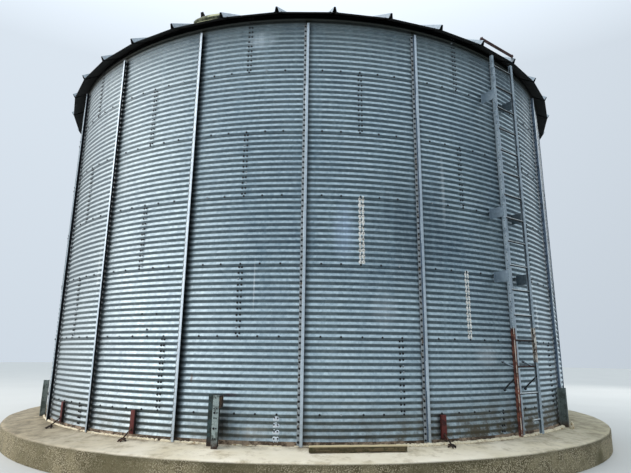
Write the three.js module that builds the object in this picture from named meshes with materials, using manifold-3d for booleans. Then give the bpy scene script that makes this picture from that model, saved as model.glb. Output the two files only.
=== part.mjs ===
// A round corrugated-steel grain silo on a concrete plinth, in millimetres, +Z up.
// The origin is the middle of the plinth's underside.
// Azimuths are in degrees: 0 is the front, towards -Y, and they grow towards +X.

import * as THREE from "three";
import { mergeVertices } from "three/addons/utils/BufferGeometryUtils.js";
import Module from "manifold-3d";

const wasm = await Module();
wasm.setup();

// Driving dimensions
const WALL_RADIUS = 4424; // to the middle of the corrugated sheet
const CORRUGATION_PITCH = 67.73; // two and two-thirds inches, crest to crest
const CORRUGATION_DEPTH = 12.7;
const CORRUGATIONS_PER_COURSE = 12;
const FULL_COURSES = 6;
const BOTTOM_COURSE_HEIGHT = 245; // what stands clear of the base angle
const TOP_EDGE = 12; // the top sheets' edge above their last corrugation
const BAYS = 20; // one stiffener to each bay
const BAY_ANGLE = 360 / BAYS;
const WALL_FACETS = 60;

const PLINTH_RADIUS = 5000;
const PLINTH_HEIGHT = 330; // at the foot of the wall
const PLINTH_RIM_HEIGHT = 280; // the top falls outwards to shed rain
const PLINTH_EDGE_CHAMFER = 25;

const ROOF_SLOPE = THREE.MathUtils.degToRad(33.5);
const ROOF_EAVE_RADIUS = 4601;
const ROOF_SHEET = 8;
const ROOF_SECTORS = 5;
const ROOF_RIBS = 40; // two to each bay
const RIB_ANGLE = 360 / ROOF_RIBS;
const ROOF_TURN = -0.5; // the roof's panels stand a little left of the stiffeners
const RIB_HEIGHT = 60;
const RIB_FOOT_WIDTH = 56;
const RIB_CROWN_WIDTH = 22;
const RIB_TOP_RADIUS = 640;
const PEAK_HOLE_RADIUS = 400;

const SEAT_GAP = 0.3; // between two pieces that touch

// Heights and radii that follow from them
const COURSE_HEIGHT = CORRUGATION_PITCH * CORRUGATIONS_PER_COURSE;
const CREST_RADIUS = WALL_RADIUS + CORRUGATION_DEPTH / 2;
const VALLEY_RADIUS = WALL_RADIUS - CORRUGATION_DEPTH / 2;
const BASE_ANGLE_HEIGHT = 46;
const WALL_FOOT = PLINTH_HEIGHT + BASE_ANGLE_HEIGHT;
const CORRUGATIONS_TOP = WALL_FOOT + BOTTOM_COURSE_HEIGHT + FULL_COURSES * COURSE_HEIGHT;
const WALL_TOP = CORRUGATIONS_TOP + TOP_EDGE;
const PANEL_FLAT = Math.cos(THREE.MathUtils.degToRad(RIB_ANGLE / 2));

// The roof's underside clears the wall's top edge in the middle of each flat panel.
const ROOF_UNDER_AT_WALL = WALL_TOP + SEAT_GAP * 2;

const galvanised = new THREE.MeshStandardMaterial({ color: 0xa9b4ba, roughness: 0.45, metalness: 0.8 });
const stiffenerSteel = new THREE.MeshStandardMaterial({ color: 0xb4bec3, roughness: 0.4, metalness: 0.85 });
const roofSteel = new THREE.MeshStandardMaterial({ color: 0x9aa4a8, roughness: 0.5, metalness: 0.8 });
const rustySteel = new THREE.MeshStandardMaterial({ color: 0x6d4433, roughness: 0.85, metalness: 0.3 });
const primedSteel = new THREE.MeshStandardMaterial({ color: 0x4a1f1c, roughness: 0.7, metalness: 0.2 });
const weatheredZinc = new THREE.MeshStandardMaterial({ color: 0x7d837c, roughness: 0.7, metalness: 0.5 });
const concrete = new THREE.MeshStandardMaterial({ color: 0xb9b29c, roughness: 0.95, metalness: 0 });
const hatchPaint = new THREE.MeshStandardMaterial({ color: 0xd9cf9c, roughness: 0.6, metalness: 0.1 });
const timber = new THREE.MeshStandardMaterial({ color: 0x4d4535, roughness: 0.95, metalness: 0 });

const silo = new THREE.Group();

function radians(degrees) {
  return THREE.MathUtils.degToRad(degrees);
}

function addPiece(name, geometry, material, azimuth = 0) {
  const mesh = new THREE.Mesh(geometry, material);
  mesh.name = name;
  mesh.rotation.z = radians(azimuth);
  silo.add(mesh);
  return mesh;
}

// Turns a closed surface into a solid that can be joined and cut.
function solidOf(geometry) {
  const bare = geometry.clone();
  bare.deleteAttribute("normal");
  bare.deleteAttribute("uv");
  const merged = mergeVertices(bare, 1e-3);
  const mesh = new wasm.Mesh({
    numProp: 3,
    vertProperties: merged.attributes.position.array,
    triVerts: new Uint32Array(merged.index.array),
  });
  return new wasm.Manifold(mesh);
}

function geometryOf(solid) {
  const mesh = solid.getMesh();
  const geometry = new THREE.BufferGeometry();
  geometry.setAttribute("position", new THREE.BufferAttribute(mesh.vertProperties, 3));
  geometry.setIndex(new THREE.BufferAttribute(mesh.triVerts, 1));
  geometry.computeVertexNormals();
  return geometry;
}

function joined(geometries) {
  let whole = solidOf(geometries[0]);
  for (const geometry of geometries.slice(1)) {
    whole = whole.add(solidOf(geometry));
  }
  return whole;
}

// A body of revolution about +Z. The outline is a list of [radius, height], anticlockwise.
function turned(outline, facets, startAzimuth = 0) {
  const points = outline.map(([radius, height]) => new THREE.Vector2(radius, height));
  const geometry = new THREE.LatheGeometry(points, facets, radians(startAzimuth));
  geometry.rotateX(Math.PI / 2);
  return geometry;
}

// A hoop whose section is a closed outline.
function hoop(outline, facets, startAzimuth = 0) {
  return turned([...outline, outline[0]], facets, startAzimuth);
}

// An upright bar at the front of the silo. The section is a list of [across, outwards] from the wall's crests.
function upright(section, bottom, top, standOff = 0) {
  const shape = new THREE.Shape();
  const points = section.map(([across, out]) => new THREE.Vector2(across, -(CREST_RADIUS + standOff + out)));
  shape.setFromPoints(points);
  const geometry = new THREE.ExtrudeGeometry(shape, { depth: top - bottom, bevelEnabled: false });
  geometry.translate(0, 0, bottom);
  return geometry;
}

// A round bar between two points, drawn with a few flat sides.
function bar(from, to, radius, sides = 8) {
  const start = new THREE.Vector3(...from);
  const end = new THREE.Vector3(...to);
  const length = start.distanceTo(end);
  const geometry = new THREE.CylinderGeometry(radius, radius, length, sides);
  const along = end.clone().sub(start).normalize();
  const turn = new THREE.Quaternion().setFromUnitVectors(new THREE.Vector3(0, 1, 0), along);
  geometry.applyQuaternion(turn);
  const middle = start.clone().add(end).multiplyScalar(0.5);
  geometry.translate(middle.x, middle.y, middle.z);
  return geometry;
}

function block(width, depth, height, x, y, z) {
  const geometry = new THREE.BoxGeometry(width, depth, height);
  geometry.translate(x, y, z);
  return geometry;
}

// Plinth: one mass of concrete whose top falls outwards from the wall
const plinthOutline = [
  [0, 0],
  [PLINTH_RADIUS, 0],
  [PLINTH_RADIUS, PLINTH_RIM_HEIGHT - PLINTH_EDGE_CHAMFER],
  [PLINTH_RADIUS - PLINTH_EDGE_CHAMFER, PLINTH_RIM_HEIGHT],
  [CREST_RADIUS + 20, PLINTH_HEIGHT],
  [0, PLINTH_HEIGHT],
];
const plinth = turned(plinthOutline, WALL_FACETS);
addPiece("plinth", plinth, concrete);

// Cutters a seat gap larger than the wall and the plinth, which trim what stands against them
const wallCutterRadius = CREST_RADIUS + SEAT_GAP / Math.cos(Math.PI / WALL_FACETS);
const wallCutter = solidOf(
  turned(
    [
      [0, 0],
      [wallCutterRadius, 0],
      [wallCutterRadius, WALL_TOP + COURSE_HEIGHT],
      [0, WALL_TOP + COURSE_HEIGHT],
    ],
    WALL_FACETS,
  ),
);
const plinthCutter = solidOf(plinth).translate([0, 0, SEAT_GAP]);

// Trims a fitting modelled at the front, for the azimuth where it will stand.
function seated(solid, azimuth) {
  const wall = wallCutter.rotate([0, 0, -azimuth]);
  const floor = plinthCutter.rotate([0, 0, -azimuth]);
  return geometryOf(solid.subtract(wall).subtract(floor));
}

// Base angle: a rolled steel angle on the plinth that carries the lowest sheets
const BASE_ANGLE_LEG = 52;
const BASE_ANGLE_THICKNESS = 8;
const baseAngleOuter = CREST_RADIUS - 1;
addPiece(
  "base_angle",
  hoop(
    [
      [baseAngleOuter - BASE_ANGLE_LEG, PLINTH_HEIGHT + SEAT_GAP],
      [baseAngleOuter, PLINTH_HEIGHT + SEAT_GAP],
      [baseAngleOuter, WALL_FOOT],
      [baseAngleOuter - BASE_ANGLE_THICKNESS, WALL_FOOT],
      [baseAngleOuter - BASE_ANGLE_THICKNESS, PLINTH_HEIGHT + SEAT_GAP + BASE_ANGLE_THICKNESS],
      [baseAngleOuter - BASE_ANGLE_LEG, PLINTH_HEIGHT + SEAT_GAP + BASE_ANGLE_THICKNESS],
    ],
    WALL_FACETS,
  ),
  rustySteel,
);

// Wall: six full courses of corrugated sheet over a short bottom course, numbered from the top
function wallCourse(bottom, top) {
  return hoop(
    [
      [VALLEY_RADIUS, bottom + SEAT_GAP],
      [CREST_RADIUS, bottom + SEAT_GAP],
      [CREST_RADIUS, top],
      [VALLEY_RADIUS, top],
    ],
    WALL_FACETS,
  );
}

for (let course = 1; course <= FULL_COURSES; course += 1) {
  const seam = CORRUGATIONS_TOP - course * COURSE_HEIGHT;
  const top = course === 1 ? WALL_TOP : seam + COURSE_HEIGHT;
  addPiece(`wall_course_${course}`, wallCourse(seam, top), galvanised);
}
const lowestCourse = wallCourse(WALL_FOOT, WALL_FOOT + BOTTOM_COURSE_HEIGHT);
addPiece(`wall_course_${FULL_COURSES + 1}`, lowestCourse, galvanised);

// Stiffeners: folded Z posts with a turned-in lip, bolted through their left flange to every crest
const STIFFENER_SHEET = 4;
const STIFFENER_PROUD = 45;
const STIFFENER_FLANGE_END = -61;
const STIFFENER_WEB = -21;
const STIFFENER_FACE_END = 14;
const STIFFENER_LIP = 14;
const STIFFENER_TOP_SETBACK = 165;
const STIFFENER_FOOT_CLEARANCE = 2;

const stiffenerSection = [
  [STIFFENER_FLANGE_END, 0],
  [STIFFENER_WEB, 0],
  [STIFFENER_WEB, STIFFENER_PROUD - STIFFENER_SHEET],
  [STIFFENER_FACE_END - STIFFENER_SHEET, STIFFENER_PROUD - STIFFENER_SHEET],
  [STIFFENER_FACE_END - STIFFENER_SHEET, STIFFENER_PROUD - STIFFENER_LIP],
  [STIFFENER_FACE_END, STIFFENER_PROUD - STIFFENER_LIP],
  [STIFFENER_FACE_END, STIFFENER_PROUD],
  [STIFFENER_WEB - STIFFENER_SHEET, STIFFENER_PROUD],
  [STIFFENER_WEB - STIFFENER_SHEET, STIFFENER_SHEET],
  [STIFFENER_FLANGE_END, STIFFENER_SHEET],
];
const stiffenerFoot = PLINTH_HEIGHT + STIFFENER_FOOT_CLEARANCE;
// The wall's facets fall away from the corner that each stiffener stands on, down to its flange.
const facetFall = -STIFFENER_WEB * Math.tan(Math.PI / WALL_FACETS);
const stiffenerHead = WALL_TOP - STIFFENER_TOP_SETBACK;
for (let bay = 0; bay < BAYS; bay += 1) {
  const number = String(bay + 1).padStart(2, "0");
  const post = upright(stiffenerSection, stiffenerFoot, stiffenerHead, SEAT_GAP - facetFall);
  addPiece(`stiffener_${number}`, post, stiffenerSteel, bay * BAY_ANGLE);
}

// Roof: a cone of flat panels with a folded rib at each joint, in sectors cut between two ribs
const ROOF_UNDER_AT_EAVE = ROOF_UNDER_AT_WALL - (ROOF_EAVE_RADIUS - CREST_RADIUS / PANEL_FLAT) * Math.tan(ROOF_SLOPE);
const SHEET_RISE = ROOF_SHEET / Math.cos(ROOF_SLOPE);

// Height of the sheet's top face at a distance from the axis, along a rib
function roofTop(radius) {
  return ROOF_UNDER_AT_EAVE + SHEET_RISE + (ROOF_EAVE_RADIUS - radius) * Math.tan(ROOF_SLOPE);
}

const coneShell = solidOf(
  hoop(
    [
      [PEAK_HOLE_RADIUS, roofTop(PEAK_HOLE_RADIUS) - SHEET_RISE],
      [ROOF_EAVE_RADIUS, ROOF_UNDER_AT_EAVE],
      [ROOF_EAVE_RADIUS, roofTop(ROOF_EAVE_RADIUS)],
      [PEAK_HOLE_RADIUS, roofTop(PEAK_HOLE_RADIUS)],
    ],
    ROOF_RIBS,
    RIB_ANGLE / 2,
  ),
);

// Lays a solid, drawn across, up from the sheet and along +Z, on the front slope. The start is a radius.
function onSlope(geometry, startRadius) {
  const across = new THREE.Vector3(-1, 0, 0);
  const up = new THREE.Vector3(0, -Math.sin(ROOF_SLOPE), Math.cos(ROOF_SLOPE));
  const uphill = new THREE.Vector3(0, Math.cos(ROOF_SLOPE), Math.sin(ROOF_SLOPE));
  const frame = new THREE.Matrix4().makeBasis(across, up, uphill);
  frame.setPosition(0, -startRadius, roofTop(startRadius));
  return geometry.applyMatrix4(frame);
}

const RIB_ROOT = -ROOF_SHEET / 2; // the rib's foot runs into the sheet
const ribShape = new THREE.Shape([
  new THREE.Vector2(-RIB_FOOT_WIDTH / 2, RIB_ROOT),
  new THREE.Vector2(RIB_FOOT_WIDTH / 2, RIB_ROOT),
  new THREE.Vector2(RIB_CROWN_WIDTH / 2, RIB_HEIGHT),
  new THREE.Vector2(-RIB_CROWN_WIDTH / 2, RIB_HEIGHT),
]);
const ribDrawn = new THREE.ExtrudeGeometry(ribShape, {
  depth: (ROOF_EAVE_RADIUS - RIB_TOP_RADIUS) / Math.cos(ROOF_SLOPE),
  bevelEnabled: false,
});
const rib = solidOf(onSlope(ribDrawn, ROOF_EAVE_RADIUS));

// A prism that holds one sector of the roof, a seat gap short of the next one
function sectorPrism(from, to) {
  const reach = ROOF_EAVE_RADIUS * 2;
  const inset = SEAT_GAP;
  const corners = [from, from + (to - from) / 3, to - (to - from) / 3, to].map(
    (azimuth) => new THREE.Vector2(reach * Math.sin(radians(azimuth)), -reach * Math.cos(radians(azimuth))),
  );
  const middle = radians((from + to) / 2);
  const apex = new THREE.Vector2(inset * Math.sin(middle), -inset * Math.cos(middle));
  const shape = new THREE.Shape([apex, ...corners.map((corner) => corner.clone().add(apex))]);
  const geometry = new THREE.ExtrudeGeometry(shape, { depth: WALL_TOP * 2, bevelEnabled: false });
  return solidOf(geometry);
}

const ribsPerSector = ROOF_RIBS / ROOF_SECTORS;
const sectorAngle = 360 / ROOF_SECTORS;
for (let sector = 0; sector < ROOF_SECTORS; sector += 1) {
  const start = sector * sectorAngle;
  let solid = coneShell.intersect(sectorPrism(start, start + sectorAngle));
  for (let index = 0; index < ribsPerSector; index += 1) {
    const azimuth = start + (index + 0.5) * RIB_ANGLE;
    solid = solid.add(rib.rotate([0, 0, azimuth]));
  }
  addPiece(`roof_sector_${sector + 1}`, geometryOf(solid), roofSteel, ROOF_TURN);
}

// Peak: a filling collar through the hole in the middle of the roof, and its cap
const COLLAR_RADIUS = 385;
const COLLAR_SHEET = 8;
const COLLAR_SKIRT_RADIUS = 520;
const COLLAR_HEIGHT = 190;
const COLLAR_DROP = 70;
const collarTop = roofTop(COLLAR_RADIUS) + COLLAR_HEIGHT;
const skirtLift = SEAT_GAP / Math.cos(ROOF_SLOPE);
addPiece(
  "peak_collar",
  hoop(
    [
      [COLLAR_RADIUS - COLLAR_SHEET, roofTop(COLLAR_RADIUS) - COLLAR_DROP],
      [COLLAR_RADIUS, roofTop(COLLAR_RADIUS) - COLLAR_DROP],
      [COLLAR_RADIUS, roofTop(COLLAR_RADIUS) + skirtLift],
      [COLLAR_SKIRT_RADIUS, roofTop(COLLAR_SKIRT_RADIUS) + skirtLift],
      [COLLAR_SKIRT_RADIUS, roofTop(COLLAR_SKIRT_RADIUS) + skirtLift + SHEET_RISE],
      [COLLAR_RADIUS, roofTop(COLLAR_RADIUS) + skirtLift + SHEET_RISE],
      [COLLAR_RADIUS, collarTop],
      [COLLAR_RADIUS - COLLAR_SHEET, collarTop],
    ],
    ROOF_RIBS,
    RIB_ANGLE / 2,
  ),
  roofSteel,
  ROOF_TURN,
);

const CAP_RADIUS = 430;
const CAP_RISE = 120;
const CAP_LIP = 60;
const CAP_SHEET = 8;
const capSeat = collarTop + SEAT_GAP;
addPiece(
  "peak_cap",
  turned(
    [
      [0, capSeat + CAP_RISE - CAP_SHEET],
      [COLLAR_RADIUS - COLLAR_SHEET, capSeat],
      [CAP_RADIUS - CAP_SHEET, capSeat],
      [CAP_RADIUS - CAP_SHEET, capSeat - CAP_LIP],
      [CAP_RADIUS, capSeat - CAP_LIP],
      [CAP_RADIUS, capSeat + CAP_SHEET],
      [0, capSeat + CAP_RISE],
    ],
    ROOF_RIBS,
    RIB_ANGLE / 2,
  ),
  roofSteel,
  ROOF_TURN,
);

// Roof hatch: a low round curb on one panel, left of the front, and its shallow lid with a handle
const HATCH_AZIMUTH = ROOF_TURN - BAY_ANGLE;
const HATCH_RADIUS = 4130; // where its middle stands on the slope
const HATCH_CURB_RADIUS = 270;
const HATCH_CURB_SHEET = 10;
const HATCH_CURB_HEIGHT = 60;
const HATCH_LID_RADIUS = 288;
const HATCH_LID_LIP = 35;
const HATCH_LID_RISE = 50;
const HATCH_HANDLE = { width: 40, height: 120, thickness: 14, fromMiddle: 165 };
const HATCH_FACETS = 24;

// A flat panel is a little steeper than the ribs at its sides, which lifts a wide piece on it.
const panelTilt = Math.atan(Math.tan(ROOF_SLOPE) / PANEL_FLAT) - ROOF_SLOPE;
const hatchSeat = SEAT_GAP + HATCH_CURB_RADIUS * Math.sin(panelTilt);

// A turned piece whose axis stands square to the roof panel, on its flat middle
function turnedOnPanel(geometry, radius) {
  geometry.rotateX(-Math.PI / 2);
  onSlope(geometry, radius / PANEL_FLAT);
  geometry.translate(0, radius / PANEL_FLAT - radius, 0);
  return geometry;
}

addPiece(
  "roof_hatch_curb",
  turnedOnPanel(
    hoop(
      [
        [HATCH_CURB_RADIUS - HATCH_CURB_SHEET, hatchSeat],
        [HATCH_CURB_RADIUS, hatchSeat],
        [HATCH_CURB_RADIUS, HATCH_CURB_HEIGHT],
        [HATCH_CURB_RADIUS - HATCH_CURB_SHEET, HATCH_CURB_HEIGHT],
      ],
      HATCH_FACETS,
    ),
    HATCH_RADIUS,
  ),
  hatchPaint,
  HATCH_AZIMUTH,
);

// The handle stands up on the lid's left part.
function hatchLid() {
  const under = HATCH_CURB_HEIGHT + SEAT_GAP;
  const rim = under + HATCH_CURB_SHEET;
  const lid = turned(
    [
      [0, under],
      [HATCH_LID_RADIUS - HATCH_CURB_SHEET, under],
      [HATCH_LID_RADIUS - HATCH_CURB_SHEET, under - HATCH_LID_LIP],
      [HATCH_LID_RADIUS, under - HATCH_LID_LIP],
      [HATCH_LID_RADIUS, rim],
      [HATCH_LID_RADIUS * 0.8, rim + HATCH_LID_RISE * 0.55],
      [HATCH_LID_RADIUS * 0.45, rim + HATCH_LID_RISE * 0.9],
      [0, rim + HATCH_LID_RISE],
    ],
    HATCH_FACETS,
  );
  const { width, height, thickness, fromMiddle } = HATCH_HANDLE;
  const handle = block(width, thickness, height, fromMiddle, 0, under + height / 2);
  return geometryOf(joined([lid, handle]));
}
addPiece("roof_hatch_lid", turnedOnPanel(hatchLid(), HATCH_RADIUS), hatchPaint, HATCH_AZIMUTH);

// Ladder: two flat rails and round rungs in front of the wall, held off it by plates and, low down, by rods
const LADDER_AZIMUTH = 35.6;
const LADDER_WIDTH = 430; // between the middles of its rails
const LADDER_STAND_OFF = 182; // from the crests to the middle of a rail
const LADDER_RAIL_WIDTH = 40;
const LADDER_RAIL_DEPTH = 28;
const LADDER_FOOT = 40; // above the plinth
const LADDER_HEAD = 4964;
const RUNG_PITCH = 308;
const RUNG_COUNT = 16; // the lowest is broken off
const RUNG_RADIUS = 11;
const LOWEST_RUNG = 204;
const BROKEN_RUNG_STUB = 165;
const PLATE_HEIGHTS = [1911, 2738, 4383]; // above the plinth, to the middle of each pair
const PLATE_HEIGHT = 118;
const PLATE_THICKNESS = 6;
const ROD_BRACES = [
  { atRail: 711, atWall: 548 },
  { atRail: 803, atWall: 877 },
];
const ROD_RADIUS = 8;

function wallLadder() {
  const railY = -(CREST_RADIUS + LADDER_STAND_OFF);
  const railLength = LADDER_HEAD - LADDER_FOOT;
  const railMiddle = PLINTH_HEIGHT + LADDER_FOOT + railLength / 2;
  const pieces = [];
  for (const side of [-1, 1]) {
    const railX = (side * LADDER_WIDTH) / 2;
    pieces.push(block(LADDER_RAIL_WIDTH, LADDER_RAIL_DEPTH, railLength, railX, railY, railMiddle));
    const plateDepth = LADDER_STAND_OFF + CORRUGATION_DEPTH * 2;
    for (const height of PLATE_HEIGHTS) {
      const plateX = railX + (side * (LADDER_RAIL_WIDTH - PLATE_THICKNESS)) / 2;
      const plateY = railY + plateDepth / 2;
      pieces.push(block(PLATE_THICKNESS, plateDepth, PLATE_HEIGHT, plateX, plateY, PLINTH_HEIGHT + height));
    }
    for (const { atRail, atWall } of ROD_BRACES) {
      const start = [railX, railY, PLINTH_HEIGHT + atRail];
      const end = [railX, railY + plateDepth, PLINTH_HEIGHT + atWall];
      pieces.push(bar(start, end, ROD_RADIUS));
    }
  }
  for (let rung = 1; rung < RUNG_COUNT; rung += 1) {
    const height = PLINTH_HEIGHT + LOWEST_RUNG + rung * RUNG_PITCH;
    const half = LADDER_WIDTH / 2;
    pieces.push(bar([-half, railY, height], [half, railY, height], RUNG_RADIUS));
  }
  const stubHeight = PLINTH_HEIGHT + LOWEST_RUNG;
  const stubEnd = LADDER_WIDTH / 2 - BROKEN_RUNG_STUB;
  pieces.push(bar([stubEnd, railY, stubHeight], [LADDER_WIDTH / 2, railY, stubHeight], RUNG_RADIUS));
  return joined(pieces);
}
addPiece("wall_ladder", seated(wallLadder(), LADDER_AZIMUTH), rustySteel, LADDER_AZIMUTH);

// Eave bar: a grab bar laid across the crowns of the two ribs over the ladder
const EAVE_BAR_AZIMUTH = ROOF_TURN + 2 * BAY_ANGLE;
const EAVE_BAR_LENGTH = 738;
const EAVE_BAR_SIDE = 34;
const EAVE_BAR_SETBACK = 58; // up the slope from the eave
const EAVE_BAR_SHIFT = 11; // to the left of the two ribs' middle

function eaveBar() {
  // Each crown lies askew to the bar, so the bar touches it along one edge.
  const crownTilt = Math.sin(radians(RIB_ANGLE / 2)) * Math.sin(ROOF_SLOPE);
  const seat = RIB_HEIGHT + SEAT_GAP + (RIB_CROWN_WIDTH / 2) * crownTilt;
  const height = seat + EAVE_BAR_SIDE / 2;
  const geometry = block(EAVE_BAR_LENGTH, EAVE_BAR_SIDE, EAVE_BAR_SIDE, EAVE_BAR_SHIFT, height, EAVE_BAR_SETBACK);
  onSlope(geometry, ROOF_EAVE_RADIUS);
  // The ribs lie on the roof's corners, and the bar spans the flat panel between them.
  geometry.translate(0, ROOF_EAVE_RADIUS * (1 - PANEL_FLAT), 0);
  return geometry;
}
addPiece("eave_bar", eaveBar(), rustySteel, EAVE_BAR_AZIMUTH);

// Anchors: a bar against the foot of the wall, a rod slanting out of it and a shoe on the plinth
const ANCHOR_AZIMUTHS = [-45.4, -25.8, 20.3, 117, -135];
const ANCHOR_WIDTH = 56;
const ANCHOR_DEPTH = 22;
const ANCHOR_BOTTOM = 50; // above the foot of the wall
const ANCHOR_TOP = 302;
const ANCHOR_ROD_RADIUS = 8;
const ANCHOR_ROD_TOP = 125;
const ANCHOR_REACH = 150;
const ANCHOR_SHOE = 84;
const ANCHOR_SHOE_HEIGHT = 22;

function anchor(azimuth) {
  const wallY = -CREST_RADIUS;
  const shoeY = wallY - ANCHOR_REACH;
  const height = ANCHOR_TOP - ANCHOR_BOTTOM;
  const solid = joined([
    block(ANCHOR_WIDTH, ANCHOR_DEPTH * 2, height, 0, wallY, PLINTH_HEIGHT + ANCHOR_BOTTOM + height / 2),
    block(ANCHOR_SHOE, ANCHOR_SHOE, ANCHOR_SHOE_HEIGHT * 2, 0, shoeY, PLINTH_HEIGHT - ANCHOR_SHOE_HEIGHT / 2),
    bar(
      [0, wallY - ANCHOR_DEPTH / 2, PLINTH_HEIGHT + ANCHOR_ROD_TOP],
      [0, shoeY, PLINTH_HEIGHT],
      ANCHOR_ROD_RADIUS,
    ),
  ]);
  return seated(solid, azimuth);
}
ANCHOR_AZIMUTHS.forEach((azimuth, index) => {
  addPiece(`anchor_${index + 1}`, anchor(azimuth), primedSteel, azimuth);
});

// Base posts: short heavy Z posts stood on the plinth against the wall, and one clear of it
const BASE_POSTS = [
  { azimuth: -62.9, standOff: 4, depth: 82 },
  { azimuth: -11.7, standOff: 100, depth: 104 },
  { azimuth: 53.2, standOff: 10, depth: 104 },
  { azimuth: 152, standOff: 4, depth: 104 },
  { azimuth: -152, standOff: 4, depth: 104 },
];
const BASE_POST_FLANGE = 92;
const BASE_POST_FACE = 66;
const BASE_POST_SHEET = 7;
const BASE_POST_TOP = 515; // above the foot of the wall

function basePost({ azimuth, standOff, depth }) {
  const section = [
    [-BASE_POST_FLANGE, 0],
    [0, 0],
    [0, depth - BASE_POST_SHEET],
    [BASE_POST_FACE, depth - BASE_POST_SHEET],
    [BASE_POST_FACE, depth],
    [-BASE_POST_SHEET, depth],
    [-BASE_POST_SHEET, BASE_POST_SHEET],
    [-BASE_POST_FLANGE, BASE_POST_SHEET],
  ];
  const bottom = PLINTH_RIM_HEIGHT; // below the plinth's top, which trims it
  return seated(solidOf(upright(section, bottom, PLINTH_HEIGHT + BASE_POST_TOP, standOff)), azimuth);
}
BASE_POSTS.forEach((place, index) => {
  addPiece(`base_post_${index + 1}`, basePost(place), weatheredZinc, place.azimuth);
});

// A board left on edge along the wall's foot, right of the front
const BOARD_AZIMUTH = 7;
const BOARD_LENGTH = 1010;
const BOARD_HEIGHT = 68;
const BOARD_THICKNESS = 44;
const BOARD_FROM_WALL = 215;
const boardY = -(CREST_RADIUS + BOARD_FROM_WALL);
const boardTop = PLINTH_HEIGHT - 8 + BOARD_HEIGHT;
const boardDrawn = BOARD_HEIGHT * 2; // the plinth trims its lower half
addPiece(
  "foot_board",
  seated(solidOf(block(BOARD_LENGTH, BOARD_THICKNESS, boardDrawn, 0, boardY, boardTop - boardDrawn / 2)), BOARD_AZIMUTH),
  timber,
  BOARD_AZIMUTH,
);

export default silo;
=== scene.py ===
# %% [markdown]
# # A corrugated steel grain silo
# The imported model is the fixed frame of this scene. Its nodes are in metres, +Z up, with the front
# towards -Y. The pieces built below stand where those nodes stand, and only a few of the wall's
# posts lean by some centimetres, as they do on the real silo.

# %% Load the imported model
import math
import random

import bmesh
import bpy
from mathutils import Matrix, Vector, noise


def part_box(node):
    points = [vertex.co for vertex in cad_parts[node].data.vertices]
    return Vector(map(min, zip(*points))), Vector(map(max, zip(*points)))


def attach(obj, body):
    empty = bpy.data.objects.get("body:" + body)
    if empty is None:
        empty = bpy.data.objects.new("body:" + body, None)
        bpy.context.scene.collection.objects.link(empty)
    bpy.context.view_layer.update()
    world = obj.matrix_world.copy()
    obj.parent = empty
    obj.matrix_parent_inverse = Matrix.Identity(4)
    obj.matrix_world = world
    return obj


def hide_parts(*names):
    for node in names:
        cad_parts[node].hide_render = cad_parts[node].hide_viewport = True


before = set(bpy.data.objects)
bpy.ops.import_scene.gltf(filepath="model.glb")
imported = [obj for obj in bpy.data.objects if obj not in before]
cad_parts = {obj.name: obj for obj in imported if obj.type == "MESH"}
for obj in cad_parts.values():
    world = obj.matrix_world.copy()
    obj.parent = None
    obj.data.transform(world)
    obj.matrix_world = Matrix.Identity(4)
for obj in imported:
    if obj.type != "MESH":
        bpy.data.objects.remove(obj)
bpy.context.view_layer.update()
random.seed(7)

# %% [markdown]
# ## Material helpers
# The first turns an sRGB hex value into the linear numbers that shaders expect. The others set or
# link a node's inputs, add one node, lay tints over a colour, and start a material.

# %% Material helpers
MIX_A, MIX_B = 6, 7  # the colour inputs of a Mix node, which has one set for each kind of value


def linear(hex_value):
    """An sRGB hex value such as "a9b4ba" as a linear colour."""
    channels = [int(hex_value[i : i + 2], 16) / 255 for i in (0, 2, 4)]
    return (*[c / 12.92 if c <= 0.04045 else ((c + 0.055) / 1.055) ** 2.4 for c in channels], 1.0)


def join(tree, node, inputs):
    """Each input of a node is set to a value or a hex colour, or linked from a node or a socket."""
    for key, value in inputs.items():
        if isinstance(value, bpy.types.Node):
            value = next(socket for socket in value.outputs if socket.enabled)
        if isinstance(value, bpy.types.NodeSocket):
            tree.links.new(value, node.inputs[key])
        else:
            node.inputs[key].default_value = linear(value) if isinstance(value, str) else value


def add(tree, kind, *inputs, **settings):
    """Adds a node with its settings. Its inputs come in order, or in a dict by name or number."""
    made = tree.nodes.new("ShaderNode" + kind)
    for key, value in settings.items():
        setattr(made, key, value)
    named = inputs and isinstance(inputs[0], dict)
    join(tree, made, inputs[0] if named else dict(enumerate(inputs)))
    return made


def layered(tree, colour, *layers):
    """Lays tints over a colour, one after another. A layer is how much of it shows and its tint."""
    for share, tint in layers:
        colour = add(tree, "Mix", {0: share, MIX_A: colour, MIX_B: tint}, data_type="RGBA")
    return colour


def start_material(name, metallic, roughness, colour):
    """A new material with its Principled shader set, its node tree, and Object coordinates."""
    material = bpy.data.materials.new(name)
    material.use_nodes = True
    tree = material.node_tree
    shader = tree.nodes["Principled BSDF"]
    join(tree, shader, {"Metallic": metallic, "Roughness": roughness, "Base Color": colour})
    material.diffuse_color = linear(colour)
    return material, tree, shader, add(tree, "TexCoord").outputs["Object"]


print("white is", linear("ffffff"))

# %% [markdown]
# ## Places
# The silo's axis is the Z axis, and its front looks towards -Y.

# %% Places


def turn(azimuth):
    """A turn about the silo's axis. Azimuth 0 is the front, and it grows to the right."""
    return Matrix.Rotation(math.radians(azimuth), 4, "Z")


def move(*shift):
    """A shift by X, Y and Z."""
    return Matrix.Translation(shift)


def on_wall(azimuth, radius, height, across=0.0):
    """The place of something on the wall: its X is to the right, Y up and Z outwards."""
    return turn(azimuth) @ move(across, -radius, height) @ Matrix.Rotation(math.radians(90), 4, "X")


print("front of the wall:", on_wall(0, 4.424, 1.0).translation)

# %% [markdown]
# ## Sheets and bars
# Most shapes start as a line of points that is spun round the axis, or drawn upwards and bent. The
# rest are blocks with rounded edges and round bars.

# %% Sheets and bars


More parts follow.
